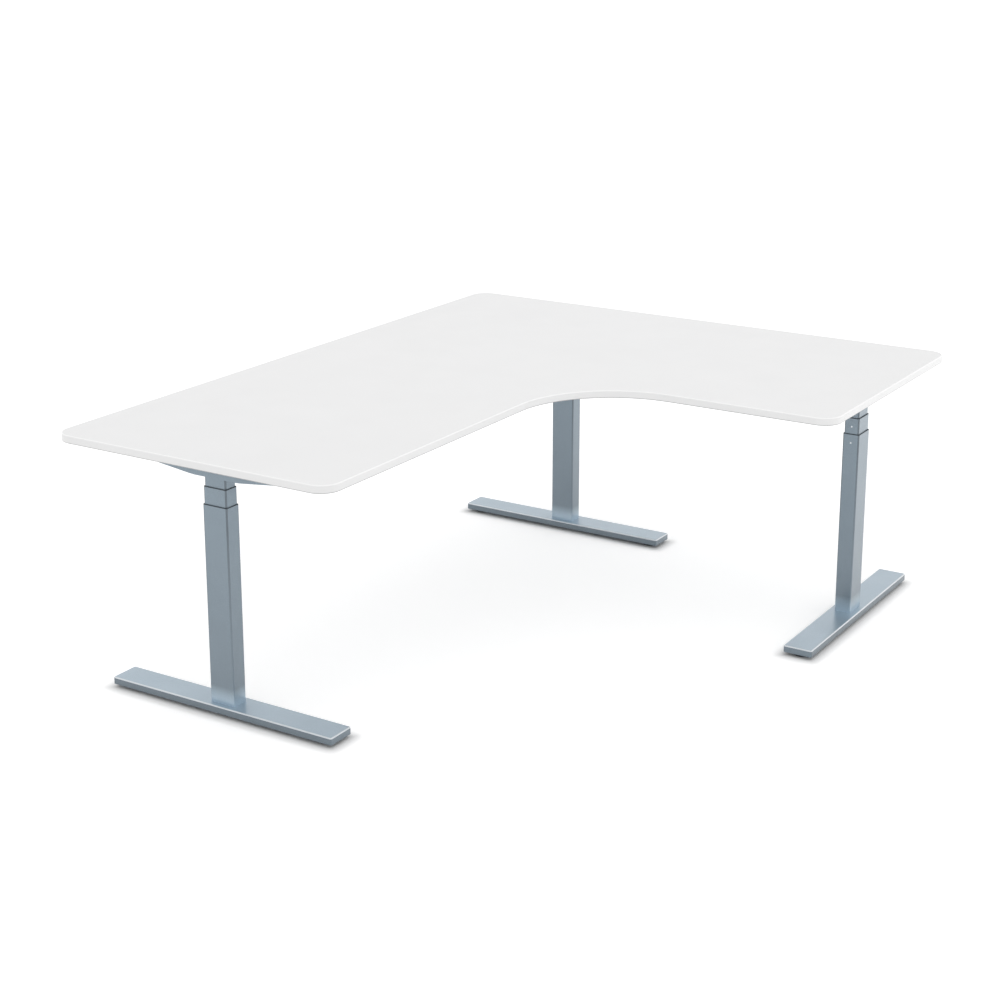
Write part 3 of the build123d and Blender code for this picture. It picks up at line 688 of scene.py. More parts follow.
class DESK_OT_finishes(Operator):
    """Make the finishes from the colours"""

    bl_idname = "desk.finishes"
    bl_label = "Finishes"

    def execute(self, context):
        for make in (
            make_tone_drift, make_gloss_drift, make_fine_grain, make_paint_flake, make_painted_foot_bounce,
            make_painted_rim_reflection, make_painted_face_shading, make_draw_lines, make_thread_ridges, make_board_tracks,
        ):
            make()
        make_finishes(context.scene.desk_colours)
        return {"FINISHED"}


# Fasteners

HEX_CHAMFER = 0.0007
HOLE_SIDES, SHANK_SIDES, HEAD_SIDES = 24, 20, 32
SHANK_OVERLAP = 0.0002
SHANK_CHAMFER = 0.3  # share of the shank's radius
CROSS_WIDTH, CROSS_SPAN = 0.26, 1.15  # shares of the head's radius
CROSS_FLOOR, SOCKET_FLOOR = 0.35, 0.4  # shares of the head's height
RECESS_OVERCUT = 0.001
WOOD_HOLD = 0.015


def hex_radius(across_flats):
    return across_flats / 2 / math.cos(math.radians(30))


def make_hex(name, across_flats, bottom, top):
    """Hexagon bar with its corners taken off at both ends."""
    piece = add_rod(name, hex_radius(across_flats), bottom, top, 6)
    return rounded(piece, ("VERTICES", lambda v: True, HEX_CHAMFER, 1))


def make_nut(name, across_flats, bore, bottom, top):
    piece = make_hex(name, across_flats, bottom, top)
    cut(piece, add_rod("bore", bore, bottom - OVERCUT, top + OVERCUT, HOLE_SIDES))
    return shade(piece)


def make_shank(radius, top):
    """Round shank from the seat upwards, with a chamfered end."""
    piece = add_rod("shank", radius, -SHANK_OVERLAP, top, SHANK_SIDES)
    return rounded(piece, ("EDGES", at_height(top), radius * SHANK_CHAMFER, 1))


def make_hex_bolt(name, across_flats, head, radius, shank):
    cap = make_hex(name, across_flats, -head, 0)
    return shade(merge(name, [cap, make_shank(radius, shank)]))


def make_headed_screw(name, head_radius, head, radius, shank, dome, socket=None):
    """Round-headed screw, head below its seat, with a cross or hexagon recess."""
    cap = rounded(add_rod(name, head_radius, -head, 0, HEAD_SIDES), ("EDGES", at_height(-head), dome, 4))
    start = -head - RECESS_OVERCUT
    if socket is None:
        wide, span = head_radius * CROSS_WIDTH / 2, head_radius * CROSS_SPAN / 2
        depth = -head * CROSS_FLOOR - start
        for half_x, half_y in ((span, wide), (wide, span)):
            cut(cap, add_block("bar", *standing(0, 0, start, half_x, half_y, depth)))
    else:
        cut(cap, add_rod("socket", hex_radius(socket), start, -head * SOCKET_FLOOR, 6))
    return shade(merge(name, [cap, make_shank(radius, shank)]))


def make_wood_screw(sheet):
    """Screw that holds a sheet of that thickness to the board."""
    return make_headed_screw(
        "screw", head_radius=0.0045, head=0.0025, radius=0.0024, shank=sheet + WOOD_HOLD, dome=0.0012
    )


# Plates and tubes

def make_tube(name, size_x, size_y, bottom, top, wall, corner):
    """Upright rectangular tube with rounded corners."""
    piece = add_block(name, *standing(0, 0, bottom, size_x / 2, size_y / 2, top - bottom))
    open_mesh(piece)
    bevel("EDGES", upright, corner, 6)
    # Tag the rounded corners as rim, where the column paint puts its painted dark reflection
    mark("rim", 1.0)
    return hollow(piece, wall, bottom, top)


def make_plate(name, low, high, corner, edge):
    """Flat plate with rounded corners and eased edges."""
    faces = at_height(low[2], high[2])
    return rounded(add_block(name, low, high), ("EDGES", upright, corner, 4), ("EDGES", faces, edge, 2))


def make_shell(name, low, high, corner, edge, wall):
    """Box with rounded corners, open at the top."""
    piece = add_block(name, low, high)
    open_mesh(piece)
    bevel("EDGES", upright, corner, 6)
    bevel("EDGES", at_height(low[2]), edge, 4)
    return hollow(piece, wall, high[2])


# Desktop

SHARP_TURN = 0.5  # greatest cosine between the outline's edges at a corner


def flat_l(name, sizes, drawn_in):
    """L-shaped board with rounded corners, drawn in from the edge of the top."""
    low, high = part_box("desktop_edge_band")
    left, front = low.x + drawn_in, low.y + drawn_in
    right, back = high.x - drawn_in, high.y - drawn_in
    inner_x = low.x + sizes.wing_width - drawn_in
    inner_y = high.y - sizes.wing_width + drawn_in
    clear_selection()
    bpy.ops.mesh.primitive_plane_add(size=1.0, location=((left + inner_x) / 2, (front + back) / 2, low.z))
    bpy.context.object.scale = (inner_x - left, back - front, 1.0)
    piece = settle(name)
    open_mesh(piece)
    bpy.ops.mesh.select_all(action="SELECT")
    bpy.ops.mesh.bisect(plane_co=(0, inner_y, low.z), plane_no=(0, 1, 0))
    pick("EDGE", lambda e: all(v.co.x > inner_x - NEAR and v.co.y > inner_y - NEAR for v in e.verts))
    extrude((right - inner_x, 0, 0))
    bpy.ops.mesh.select_all(action="SELECT")
    bpy.ops.mesh.dissolve_limited(angle_limit=math.radians(1))
    inner_corner = Vector((inner_x, inner_y, low.z))

    def is_inner(vertex):
        return (vertex.co - inner_corner).length < NEAR

    bevel("VERTICES", lambda v: is_turn(v) and not is_inner(v), sizes.corner_radius - drawn_in, 20)
    bevel("VERTICES", is_inner, sizes.inner_curve + drawn_in, 64)
    bpy.ops.mesh.select_all(action="SELECT")
    extrude((0, 0, high.z - low.z))
    face_outwards()
    return piece


def is_turn(vertex):
    """True where the outline bends at a corner of the open mesh."""
    ways = [(e.other_vert(vertex).co - vertex.co).normalized() for e in vertex.link_edges]
    return len(ways) == 2 and abs(ways[0].dot(ways[1])) < SHARP_TURN


class DESK_OT_desktop(Operator):
    """Model the L-shaped board and the rounded edging round it"""

    bl_idname = "desk.desktop"
    bl_label = "Desktop"

    def execute(self, context):
        sizes = context.scene.desk_sizes
        low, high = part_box("desktop_edge_band")
        board = flat_l("desktop_panel", sizes, sizes.band_thickness)
        fit(shade(board), "top_stage", "white_laminate", "desktop_board")
        band = flat_l("desktop_edging", sizes, 0.0)
        bevel("EDGES", at_height(low.z, high.z), sizes.edge_rounding, 6)
        pick("FACE", at_height(low.z, high.z))
        inset(sizes.band_thickness - sizes.edge_rounding)
        join_openings()
        # Painted highlight on the edging's upper rounding and top
        mark_faces(lambda f: f.normal.z > SLOPING, "rim", 1.0)
        # Painted shade on the edging's lower rounding and underside
        mark_faces(lambda f: f.normal.z < -SLOPING, "tone", context.scene.desk_colours.edging_painted_shade)
        fit(shade(band), "top_stage", "white_edging", "desktop_edge_band")
        return {"FINISHED"}


# Feet

class DESK_OT_feet(Operator):
    """Model the three folded feet, open below"""

    bl_idname = "desk.feet"
    bl_label = "Feet"

    def execute(self, context):
        sizes, tones = context.scene.desk_sizes, context.scene.desk_colours
        low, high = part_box("left_foot")
        half = (high - low) / 2
        foot = add_block("foot_tray", (-half.x, -half.y, low.z), (half.x, half.y, high.z))
        open_mesh(foot)
        bevel("EDGES", upright, sizes.foot_corner, 6)
        pick("FACE", at_height(low.z))
        inset(sizes.foot_wall)
        extrude((0, 0, high.z - low.z - sizes.foot_wall))
        bevel("EDGES", at_height(high.z), sizes.foot_arris, 5)
        # Painted highlight on the rounded upper edges
        mark_faces(lambda f: SLOPING < f.normal.z < LEVEL, "rim", 1.0)
        # Painted shade on the upright sides
        mark_faces(lambda f: abs(f.normal.z) < UPRIGHT_SIDE, "tone", tones.foot_side_painted_shade)
        # Painted shade on the ends
        mark_faces(lambda f: abs(f.normal.x) > FACING, "tone", tones.foot_end_painted_shade)
        # Painted light on the top
        mark_faces(at_height(high.z), "tone", tones.foot_top_painted_light)
        on_each_leg(shade(foot), "foot_tray", "base", "silver_paint", "foot")
        return {"FINISHED"}


PAD_SIDES = 72
PAD_EDGE = 0.002
PAD_HUB_HEIGHT = 0.002
GRIP_RIM, GRIP_DEPTH = 0.0003, 0.0006
PAD_NUT_FLATS, PAD_NUT_BORE = 0.013, 0.00405


def every_other_side(face):
    """True for every other upright face round a pad, where the grip is grooved."""
    step = math.degrees(math.atan2(face.normal.y, face.normal.x)) * PAD_SIDES / 360
    return abs(face.normal.z) < NEAR and math.floor(step + 0.01) % 2 == 0


class DESK_OT_glides(Operator):
    """Model the six levelling glides and the nuts that they screw into"""

    bl_idname = "desk.glides"
    bl_label = "Levelling glides"

    def execute(self, context):
        sizes = context.scene.desk_sizes
        low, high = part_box("left_front_glide")
        radius = (high.x - low.x) / 2
        glide = add_rod("glide_pad", radius, 0, sizes.glide_pad, PAD_SIDES)
        open_mesh(glide)
        bevel("EDGES", at_height(sizes.glide_pad), PAD_EDGE, 4)
        bevel("EDGES", at_height(0), PAD_EDGE / 3, 2)
        pick("FACE", every_other_side)
        bpy.ops.mesh.inset(thickness=GRIP_RIM, depth=-GRIP_DEPTH, use_individual=True)
        pick("FACE", lambda f: at_height(sizes.glide_pad)(f) and len(f.verts) > 4)
        inset(radius - PAD_EDGE - sizes.glide_hub)
        extrude((0, 0, PAD_HUB_HEIGHT))
        inset(sizes.glide_hub - sizes.glide_stem)
        extrude((0, 0, high.z - sizes.glide_pad - PAD_HUB_HEIGHT))
        shade(glide)
        for name in [f"{leg}_{end}" for leg in LEGS for end in ("front", "rear")]:
            node = f"{name}_glide"
            middle = middle_of(node)
            fit(copy_to(glide, f"{name}_pad", shift(middle.x, middle.y, 0)), node, "black_pad", node)
        bpy.data.objects.remove(glide)
        nut_low, nut_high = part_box("glide_nuts")
        nut = make_nut("pad_nut", PAD_NUT_FLATS, PAD_NUT_BORE, nut_low.z, nut_high.z)
        reach = (middle_of("left_front_glide") - middle_of("left_rear_glide")).length / 2
        fit(copies(nut, "pad_nuts", beside_legs(0, reach)), "base", "zinc_steel", "glide_nuts")
        return {"FINISHED"}


# Columns

GUIDE_HOLE, GUIDE_HOLE_REACH = 0.0026, 0.004
GUIDE_HEAD = 0.0015
COLLAR_ARRIS = 0.0005
OUTLINE_DEPTH = 0.0015


class DESK_OT_columns(Operator):
    """Model the three tubes of each column, with a hole for each guide screw"""

    bl_idname = "desk.columns"
    bl_label = "Column tubes"

    def execute(self, context):
        sizes = context.scene.desk_sizes
        for stage, body in STAGES:
            low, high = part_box(f"left_{stage}_tube")
            size = high - low
            tube = make_tube("column_tube", size.x, size.y, low.z, high.z, sizes.tube_wall, sizes.tube_corner)
            if stage != "inner":
                height = high.z + sizes.collar_height - sizes.screw_drop
                hole = add_rod("hole", GUIDE_HOLE, -GUIDE_HOLE_REACH, GUIDE_HOLE_REACH, HOLE_SIDES)
                cut(tube, copies(hole, "hole", [shift(-size.x / 2, 0, height) @ turn(QUARTER, "Y")]))
            on_each_leg(shade(tube), f"{stage}_column", body, "silver_paint", f"{stage}_tube", "tube_paint")
        return {"FINISHED"}


def on_outline(edge, half):
    """True for an edge on the outside of an upright block of that half size."""
    middle = (edge.verts[0].co + edge.verts[1].co) / 2
    return abs(middle.x) > half.x - OUTLINE_DEPTH or abs(middle.y) > half.y - OUTLINE_DEPTH


class DESK_OT_collars(Operator):
    """Model the dark collars with their guide sleeves, and the screws that hold them"""

    bl_idname = "desk.collars"
    bl_label = "Collars and guide screws"

    def execute(self, context):
        sizes = context.scene.desk_sizes
        for stage, body in STAGES[:2]:
            low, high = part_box(f"left_{stage}_tube")
            half = (high - low) / 2
            rim, lip = high.z, high.z + sizes.collar_height
            collar = add_block("collar", (-half.x, -half.y, rim), (half.x, half.y, lip))
            open_mesh(collar)
            bevel("EDGES", upright, sizes.tube_corner, 6)
            pick("FACE", at_height(rim))
            inset(sizes.tube_wall)
            extrude((0, 0, -sizes.sleeve_depth))
            inset(sizes.collar_bore - sizes.tube_wall)
            pick("FACE", at_height(lip))
            inset(sizes.collar_bore)
            at_ends = at_height(lip, rim - sizes.sleeve_depth)
            pick("FACE", lambda f: len(f.verts) > 4 and at_ends(f))
            join_openings()
            bevel("EDGES", lambda e: at_height(lip)(e) and on_outline(e, half), COLLAR_ARRIS, 2)
            collars = copies(shade(collar), f"{stage}_collars", leg_places())
            fit(collars, body, "dark_collar", f"{stage}_bushes")
            screw = make_headed_screw(
                "guide_screw", head_radius=0.0025, head=GUIDE_HEAD, radius=0.0015, shank=0.0005, dome=0.0003
            )
            inwards = shift(-half.x + GUIDE_HEAD, 0, lip - sizes.screw_drop) @ turn(QUARTER, "Y")
            screws = copies(screw, f"{stage}_guide_screws", leg_places(inwards))
            fit(screws, body, "bush_screw_steel", f"{stage}_tube_screws")
        return {"FINISHED"}


# Frame under the top

ARM_END_ROUNDING = 0.0015
JOINT_PLATE_DEPTH = 0.030
PLATE_ROUNDING = (0.003, 0.0005)
BOLT_DROPS = (0.015, 0.040)
BOLT_INSET = 0.010
BOLT_FLATS, BOLT_HEAD, BOLT_RADIUS, BOLT_END = 0.010, 0.004, 0.003, 0.006
NUT_BORE, NUT_HEIGHT = 0.00305, 0.005
FOOT_BOLT_REACH = 0.026
ARM_SCREW_REACH, ARM_SCREW_INSET = 0.120, 0.030


def runs_along(edge):
    """True for an edge along X."""
    return abs(edge.verts[0].co.x - edge.verts[1].co.x) > NEAR


def runs_across(edge, distance):
    """True for an edge along Y at that distance from the middle."""
    first, second = (v.co.x for v in edge.verts)
    return abs(first - second) < NEAR and abs(abs(first) - distance) < NEAR


class DESK_OT_arms(Operator):
    """Model the tapered support arms, channels that are open below"""

    bl_idname = "desk.arms"
    bl_label = "Support arms"

    def execute(self, context):
        sizes = context.scene.desk_sizes
        low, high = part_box("left_support_arm")
        half = (high - low) / 2
        flat, wall = sizes.arm_flat / 2, sizes.arm_wall
        rise = high.z - sizes.arm_end - low.z
        arm = add_block("support_arm", (-half.x, -half.y, low.z), (half.x, half.y, high.z))
        open_mesh(arm)
        for side in BOTH_SIDES:
            bpy.ops.mesh.select_all(action="SELECT")
            bpy.ops.mesh.bisect(plane_co=(side * flat, 0, 0), plane_no=(1, 0, 0))
        pick("VERT", lambda v: abs(v.co.x) > half.x - NEAR and v.co.z < low.z + NEAR)
        bpy.ops.transform.translate(value=(0, 0, rise))
        bend = sizes.arm_bend * math.tan(math.atan2(rise, half.x - flat) / 2)
        bevel("EDGES", lambda e: at_height(low.z)(e) and runs_across(e, flat), bend, 10)
        bevel("EDGES", lambda e: upright(e) and abs(e.verts[0].co.x) > half.x - NEAR, ARM_END_ROUNDING, 3)
        depth = high.z - wall - low.z + OVERCUT
        cut(arm, add_block("inside", *standing(0, 0, low.z - OVERCUT, half.x - wall, half.y - wall, depth)))
        on_each_leg(shade(arm), "top_arm", "top_stage", "silver_paint", "support_arm")
        return {"FINISHED"}


def beam_ends(sizes):
    """Where each beam end meets an arm or the main beam, with the wall that it meets, the depth of its
    plate and its bolts' drops."""
    long_low, long_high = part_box("main_beam")
    return_low, return_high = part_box("return_beam")
    long_x, return_y = middle_of("main_beam").x, middle_of("return_beam").y
    thick = sizes.plate_thickness
    on_arm = (sizes.arm_wall, sizes.plate_depth, BOLT_DROPS)
    return [
        (shift(long_x, long_low.y - thick, 0), *on_arm),
        (shift(long_x, long_high.y + thick, 0) @ turn(2 * QUARTER, "Z"), *on_arm),
        (shift(return_high.x + thick, return_y, 0) @ turn(QUARTER, "Z"), *on_arm),
        (shift(return_low.x - thick, return_y, 0) @ turn(-QUARTER, "Z"),
         sizes.beam_wall, JOINT_PLATE_DEPTH, BOLT_DROPS[:1]),
    ]


class DESK_OT_beams(Operator):
    """Model the two beams and the plates on their ends"""

    bl_idname = "desk.beams"
    bl_label = "Beams"

    def execute(self, context):
        sizes = context.scene.desk_sizes
        for name, node, heading in (("long_beam", "main_beam", 0.0), ("short_beam", "return_beam", -QUARTER)):
            size = node_size(node)
            wide, long = sorted(size.xy)
            tube = make_tube("tube", wide, size.z, -long / 2, long / 2, sizes.beam_wall, sizes.beam_corner)
            place = shift(*middle_of(node)) @ turn(heading, "Z") @ turn(-QUARTER, "X")
            fit(copies(shade(tube), name, [place]), "top_stage", "beam_paint", node)
        half, plates = sizes.plate_width / 2, []
        standing_up = shift(0, 0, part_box("main_beam")[1].z) @ turn(-QUARTER, "X") @ turn(2 * QUARTER, "Z")
        for place, _, depth, _ in beam_ends(sizes):
            plate = make_plate("plate", (-half, -depth, 0), (half, 0, sizes.plate_thickness), *PLATE_ROUNDING)
            plates.append(copies(shade(plate), "plate", [place @ standing_up]))
        fit(merge("beam_plates", plates), "top_stage", "beam_paint", "beam_end_plates")
        return {"FINISHED"}


class DESK_OT_fasteners(Operator):
    """Model the bolts, nuts and wood screws of the feet, arms and beams"""

    bl_idname = "desk.fasteners"
    bl_label = "Fasteners"

    def execute(self, context):
        sizes = context.scene.desk_sizes
        top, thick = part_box("main_beam")[1].z, sizes.plate_thickness
        across = sizes.plate_width / 2 - BOLT_INSET
        lying = turn(QUARTER, "X")
        bolts, nuts = [], []
        for place, wall, _, drops in beam_ends(sizes):
            points = [place @ shift(side * across, 0, top - drop) for side in BOTH_SIDES for drop in drops]
            bolt = make_hex_bolt("bolt", BOLT_FLATS, BOLT_HEAD, BOLT_RADIUS, thick + wall + BOLT_END)
            bolts.append(copies(bolt, "bolt", [point @ shift(0, thick, 0) @ lying for point in points]))
            nut = make_nut("nut", BOLT_FLATS, NUT_BORE, 0.0, NUT_HEIGHT)
            nuts.append(copies(nut, "nut", [point @ shift(0, -wall, 0) @ lying for point in points]))
        fit(merge("hex_bolts", bolts), "top_stage", "zinc_steel", "beam_bolts")
        fit(merge("hex_nuts", nuts), "top_stage", "zinc_steel", "beam_nuts")
        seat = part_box("left_foot")[1].z - sizes.foot_wall
        clamp = make_headed_screw(
            "clamp", head_radius=0.0065, head=0.005, radius=0.004, shank=0.0085, dome=0.0014, socket=0.005
        )
        clamps = copies(clamp, "foot_clamp_bolts", beside_legs(seat, FOOT_BOLT_REACH))
        fit(clamps, "base", "zinc_steel", "foot_bolts")
        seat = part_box("left_support_arm")[1].z - sizes.arm_wall
        far = node_size("left_support_arm").x / 2 - ARM_SCREW_INSET
        places = beside_legs(seat, ARM_SCREW_REACH, far)
        screws = copies(make_wood_screw(sizes.arm_wall), "arm_wood_screws", places)
        fit(screws, "top_stage", "zinc_steel", "arm_screws")
        return {"FINISHED"}


# Controls

EAR_THICKNESS = 0.003
BOX_EAR_INSET = 0.008
LID_SCREW_SIDE, LID_SCREW_DROP = 0.014, 0.007
BOARD_THICKNESS = 0.0016

# Sockets for the leads and the mains, their pins, and the room round them in the case
LEAD_COUNT, LEAD_PITCH = 4, 0.030
LEAD_HALF, LEAD_DEPTH, LEAD_HEIGHT = 0.007, 0.016, 0.010
INLET_SIDE, INLET_HALF, INLET_DEPTH, INLET_HEIGHT = 0.0155, 0.0135, 0.024, 0.020
PIN_COUNT = 3
LEAD_PIN_PITCH, LEAD_PIN_HALF, LEAD_PIN_SET, LEAD_PIN_REACH = 0.0025, 0.0004, 0.00525, 0.00325
INLET_PIN_PITCH, INLET_PIN_SET, INLET_PIN_LIFTS = 0.007, 0.00925, (0.006, 0.010, 0.006)
INLET_PIN_HALF, INLET_PIN_REACH, INLET_PIN_HEIGHT = 0.001, 0.00625, 0.004
SOCKET_ROOM = 0.0004

VENT_COUNT, VENT_PITCH, VENT_SIDE = 9, 0.014, 0.020
VENT_HALF_LENGTH, VENT_HALF_WIDTH = 0.013, 0.002
CORE_HALF = 0.019

# Handset, its buttons and their arrows
HANDSET_HALF = 0.048
HANDSET_EAR_HALF, HANDSET_EAR_INSET = 0.0075, 0.007
BUTTON_WIDE, BUTTON_TALL, BUTTON_CORNER, BUTTON_ROOM = 0.024, 0.010, 0.002, 0.0003
BUTTON_ARRIS = 0.0008
FLANGE_RIM, FLANGE_THICKNESS = 0.004, 0.0015
ARROW_RADIUS, ARROW_HEIGHT, ARROW_ARRIS, ARROW_SUNK = 0.0028, 0.0004, 0.00015, 0.0001


def in_row(middle, count, pitch):
    return [middle + (index - (count - 1) / 2) * pitch for index in range(count)]


def make_ear_screws(name, middle, reach, seat):
    """Wood screws through the ears at both ends of a case."""
    places = [shift(middle.x, middle.y + side * reach, seat) for side in BOTH_SIDES]
    return copies(make_wood_screw(EAR_THICKNESS), name, places)


class DESK_OT_control_box(Operator):
    """Model the control box with its ears, vents, sockets and screws"""

    bl_idname = "desk.control_box"
    bl_label = "Control box"

    def execute(self, context):
        sizes = context.scene.desk_sizes
        low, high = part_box("control_box_base")
        seat = high.z - EAR_THICKNESS
        plate = make_plate("box_plate", (low.x, low.y, seat), high, sizes.box_corner, edge=0.0006)
        fit(shade(plate), "top_stage", "control_plastic", "control_box_base")
        low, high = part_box("control_box_cover")
        middle = (low + high) / 2
        case = make_shell("box_case", low, high, sizes.box_corner, edge=0.002, wall=sizes.box_wall)
        board_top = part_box("control_board")[0].z + BOARD_THICKNESS
        half, tall = LEAD_HALF + SOCKET_ROOM, LEAD_HEIGHT + SOCKET_ROOM
        for y in in_row(middle.y, LEAD_COUNT, LEAD_PITCH):
            cut(case, add_block("socket", *standing(high.x, y, board_top, OVERCUT, half, tall)))
        half, tall = INLET_HALF + SOCKET_ROOM, INLET_HEIGHT + SOCKET_ROOM
        cut(case, add_block("inlet", *standing(middle.x - INLET_SIDE, low.y, board_top, half, OVERCUT, tall)))
        vent = (low.z - OVERCUT, VENT_HALF_LENGTH, VENT_HALF_WIDTH, 2 * OVERCUT)
        slots = [
            make_plate("slot", *standing(middle.x + side * VENT_SIDE, y, *vent), corner=0.0019, edge=0.0001)
            for side in BOTH_SIDES for y in in_row(middle.y, VENT_COUNT, VENT_PITCH)
        ]
        cut(case, merge("slots", slots))
        soften(case, width=0.0004)
        fit(shade(case), "top_stage", "control_plastic", "control_box_cover")
        reach = node_size("control_box_base").y / 2 - BOX_EAR_INSET
        ears = make_ear_screws("screw", middle, reach, seat)
        lid = make_headed_screw(
            "lid_screw", head_radius=0.00275, head=0.002, radius=0.0015, shank=0.0045, dome=0.0008
        )
        reach = (high.y - low.y) / 2
        places = [
            shift(middle.x + LID_SCREW_SIDE, middle.y + side * reach, high.z - LID_SCREW_DROP)
            @ turn(side * QUARTER, "X") for side in BOTH_SIDES
        ]
        screws = merge("box_screws", [ears, copies(lid, "lid_screw", places)])
        fit(screws, "top_stage", "zinc_steel", "control_box_screws")
        return {"FINISHED"}


def make_socket(block, way, wall, depth):
    """Block with a recess in the side that faces that way."""
    piece = add_block("socket", *block)
    open_mesh(piece)
    pick("FACE", lambda f: f.normal.dot(way) > FACING)
    inset(wall)
    extrude(way * -depth)
    clear_selection()
    return piece


class DESK_OT_control_board(Operator):
    """Model the control box's circuit board, with its sockets, mains inlet and transformer"""

    bl_idname = "desk.control_board"
    bl_label = "Control board"

    def execute(self, context):
        low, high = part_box("control_board")
        middle = middle_of("control_box_cover")
        top = low.z + BOARD_THICKNESS
        panel = standing(middle.x, middle.y, low.z, middle.x - low.x, high.y - middle.y, BOARD_THICKNESS)
        board = make_plate("control_circuit", *panel, corner=0.002, edge=0.0003)
        fit(shade(board), "top_stage", "circuit_board", "control_board")
        core = standing(middle.x, middle.y, top, CORE_HALF, CORE_HALF, high.z - top)
        add_part(board, shade(make_plate("transformer", *core, corner=0.003, edge=0.001)), "motor_steel")
        sockets, pins = [], []
        for y in in_row(middle.y, LEAD_COUNT, LEAD_PITCH):
            block = standing(high.x - LEAD_DEPTH / 2, y, top, LEAD_DEPTH / 2, LEAD_HALF, LEAD_HEIGHT)
            sockets.append(make_socket(block, Vector((1, 0, 0)), wall=0.002, depth=0.008))
            bottom = top + LEAD_HEIGHT / 2 - LEAD_PIN_HALF
            pin = (bottom, LEAD_PIN_REACH, LEAD_PIN_HALF, 2 * LEAD_PIN_HALF)
            for pin_y in in_row(y, PIN_COUNT, LEAD_PIN_PITCH):
                block = standing(high.x - LEAD_PIN_SET, pin_y, *pin)
                pins.append(make_plate("pin", *block, corner=0.0002, edge=0.0001))
        x = middle.x - INLET_SIDE
        block = standing(x, low.y + INLET_DEPTH / 2, top, INLET_HALF, INLET_DEPTH / 2, INLET_HEIGHT)
        sockets.append(make_socket(block, Vector((0, -1, 0)), wall=0.0025, depth=0.015))
        pin = (INLET_PIN_HALF, INLET_PIN_REACH, INLET_PIN_HEIGHT)
        for pin_x, lift in zip(in_row(x, PIN_COUNT, INLET_PIN_PITCH), INLET_PIN_LIFTS):
            block = standing(pin_x, low.y + INLET_PIN_SET, top + lift, *pin)
            pins.append(make_plate("pin", *block, corner=0.0006, edge=0.0002))
        add_part(board, shade(merge("sockets", sockets)), "control_plastic")
        add_part(board, shade(merge("pins", pins)), "zinc_steel")
        return {"FINISHED"}


def button_block(name, back, front, y, z, margin=0.0):
    """Block along X with rounded corners, as the buttons, their flanges and their openings have."""
    half_y, half_z = (BUTTON_WIDE + margin) / 2, (BUTTON_TALL + margin) / 2
    piece = add_block(name, (back, y - half_y, z - half_z), (front, y + half_y, z + half_z))
    return rounded(piece, ("EDGES", runs_along, BUTTON_CORNER, 5))


class DESK_OT_handset(Operator):
    """Model the handset, its two arrow buttons and its screws"""

    bl_idname = "desk.handset"
    bl_label = "Handset"

    def execute(self, context):
        sizes = context.scene.desk_sizes
        low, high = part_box("handset_case")
        middle, half = (low + high) / 2, (high - low) / 2
        body = standing(middle.x, middle.y, low.z, half.x, HANDSET_HALF, high.z - low.z)
        case = make_shell(
            "handset_body", *body, sizes.handset_corner, edge=0.0015, wall=sizes.handset_wall
        )
        seat = high.z - EAR_THICKNESS
        start = HANDSET_HALF - sizes.handset_wall
        ear_middle, ear_half = (half.y + start) / 2, (half.y - start) / 2
        ear = (seat, HANDSET_EAR_HALF, ear_half, EAR_THICKNESS)
        ears = [
            make_plate(
                "ear", *standing(middle.x, middle.y + side * ear_middle, *ear), corner=0.0025, edge=0.0004
            ) for side in BOTH_SIDES
        ]
        for node in ("up_button", "down_button"):
            reach = (high.x - OVERCUT / 2, high.x + OVERCUT / 2)
            cut(case, button_block("opening", *reach, middle_of(node).y, middle.z, BUTTON_ROOM))
        soften(case, width=0.0003)
        case = merge("handset_body", [case, *ears])
        fit(shade(case), "top_stage", "control_plastic", "handset_case")
        self.make_button("up_button", "raise_button", -QUARTER, middle.z)
        self.make_button("down_button", "lower_button", QUARTER, middle.z)
        screws = make_ear_screws("handset_wood_screws", middle, half.y - HANDSET_EAR_INSET, seat)
        fit(screws, "top_stage", "zinc_steel", "handset_screws")
        return {"FINISHED"}

    def make_button(self, node, label, arrow_turn, height):
        low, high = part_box(node)
        y = middle_of(node).y
        step = low.x + FLANGE_THICKNESS
        cap = button_block(label, step, high.x, y, height)
        rounded(cap, ("EDGES", lambda e: all(abs(v.co.x - high.x) < NEAR for v in e.verts), BUTTON_ARRIS, 3))
        flange = button_block("flange", low.x, step, y, height, FLANGE_RIM)
        button = shade(merge(label, [cap, flange]))
        arrow = add_rod("arrow", ARROW_RADIUS, 0, ARROW_HEIGHT, 3)
        rounded(arrow, ("EDGES", at_height(ARROW_HEIGHT), ARROW_ARRIS, 2))
        place = shift(high.x - ARROW_SUNK, y, height) @ turn(QUARTER, "Y") @ turn(arrow_turn, "Z")
        arrow = copies(arrow, "arrow", [place])
        fit(button, node, "button_plastic", node)
        add_part(button, arrow, "button_mark")


# Lift drive

class DESK_OT_drive(Operator):
    """Finish the lift drive in the columns and the circuit board in the handset"""

    bl_idname = "desk.drive"
    bl_label = "Lift drive"

    looks = {
        "column_base_plates": "zinc_steel",
        "base_screws": "screw_steel",
        "middle_glide_rings": "guide_plastic",
        "middle_bearing_plates": "zinc_steel",
        "inner_glide_rings": "guide_plastic",
        "inner_nuts": "guide_plastic",
        "gear_motors": "motor_steel",
        "motor_screws": "zinc_steel",
        "column_head_plates": "beam_paint",
        "handset_board": "circuit_board",
        **{f"{leg}_{node}": "screw_steel" for leg in LEGS for node in ("drive_tube", "lift_screw")},
    }

    def execute(self, context):
        for node, look in self.looks.items():
            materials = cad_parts[node].data.materials
            for index in range(len(materials)):
                materials[index] = finish(look)
        return {"FINISHED"}


# Stage

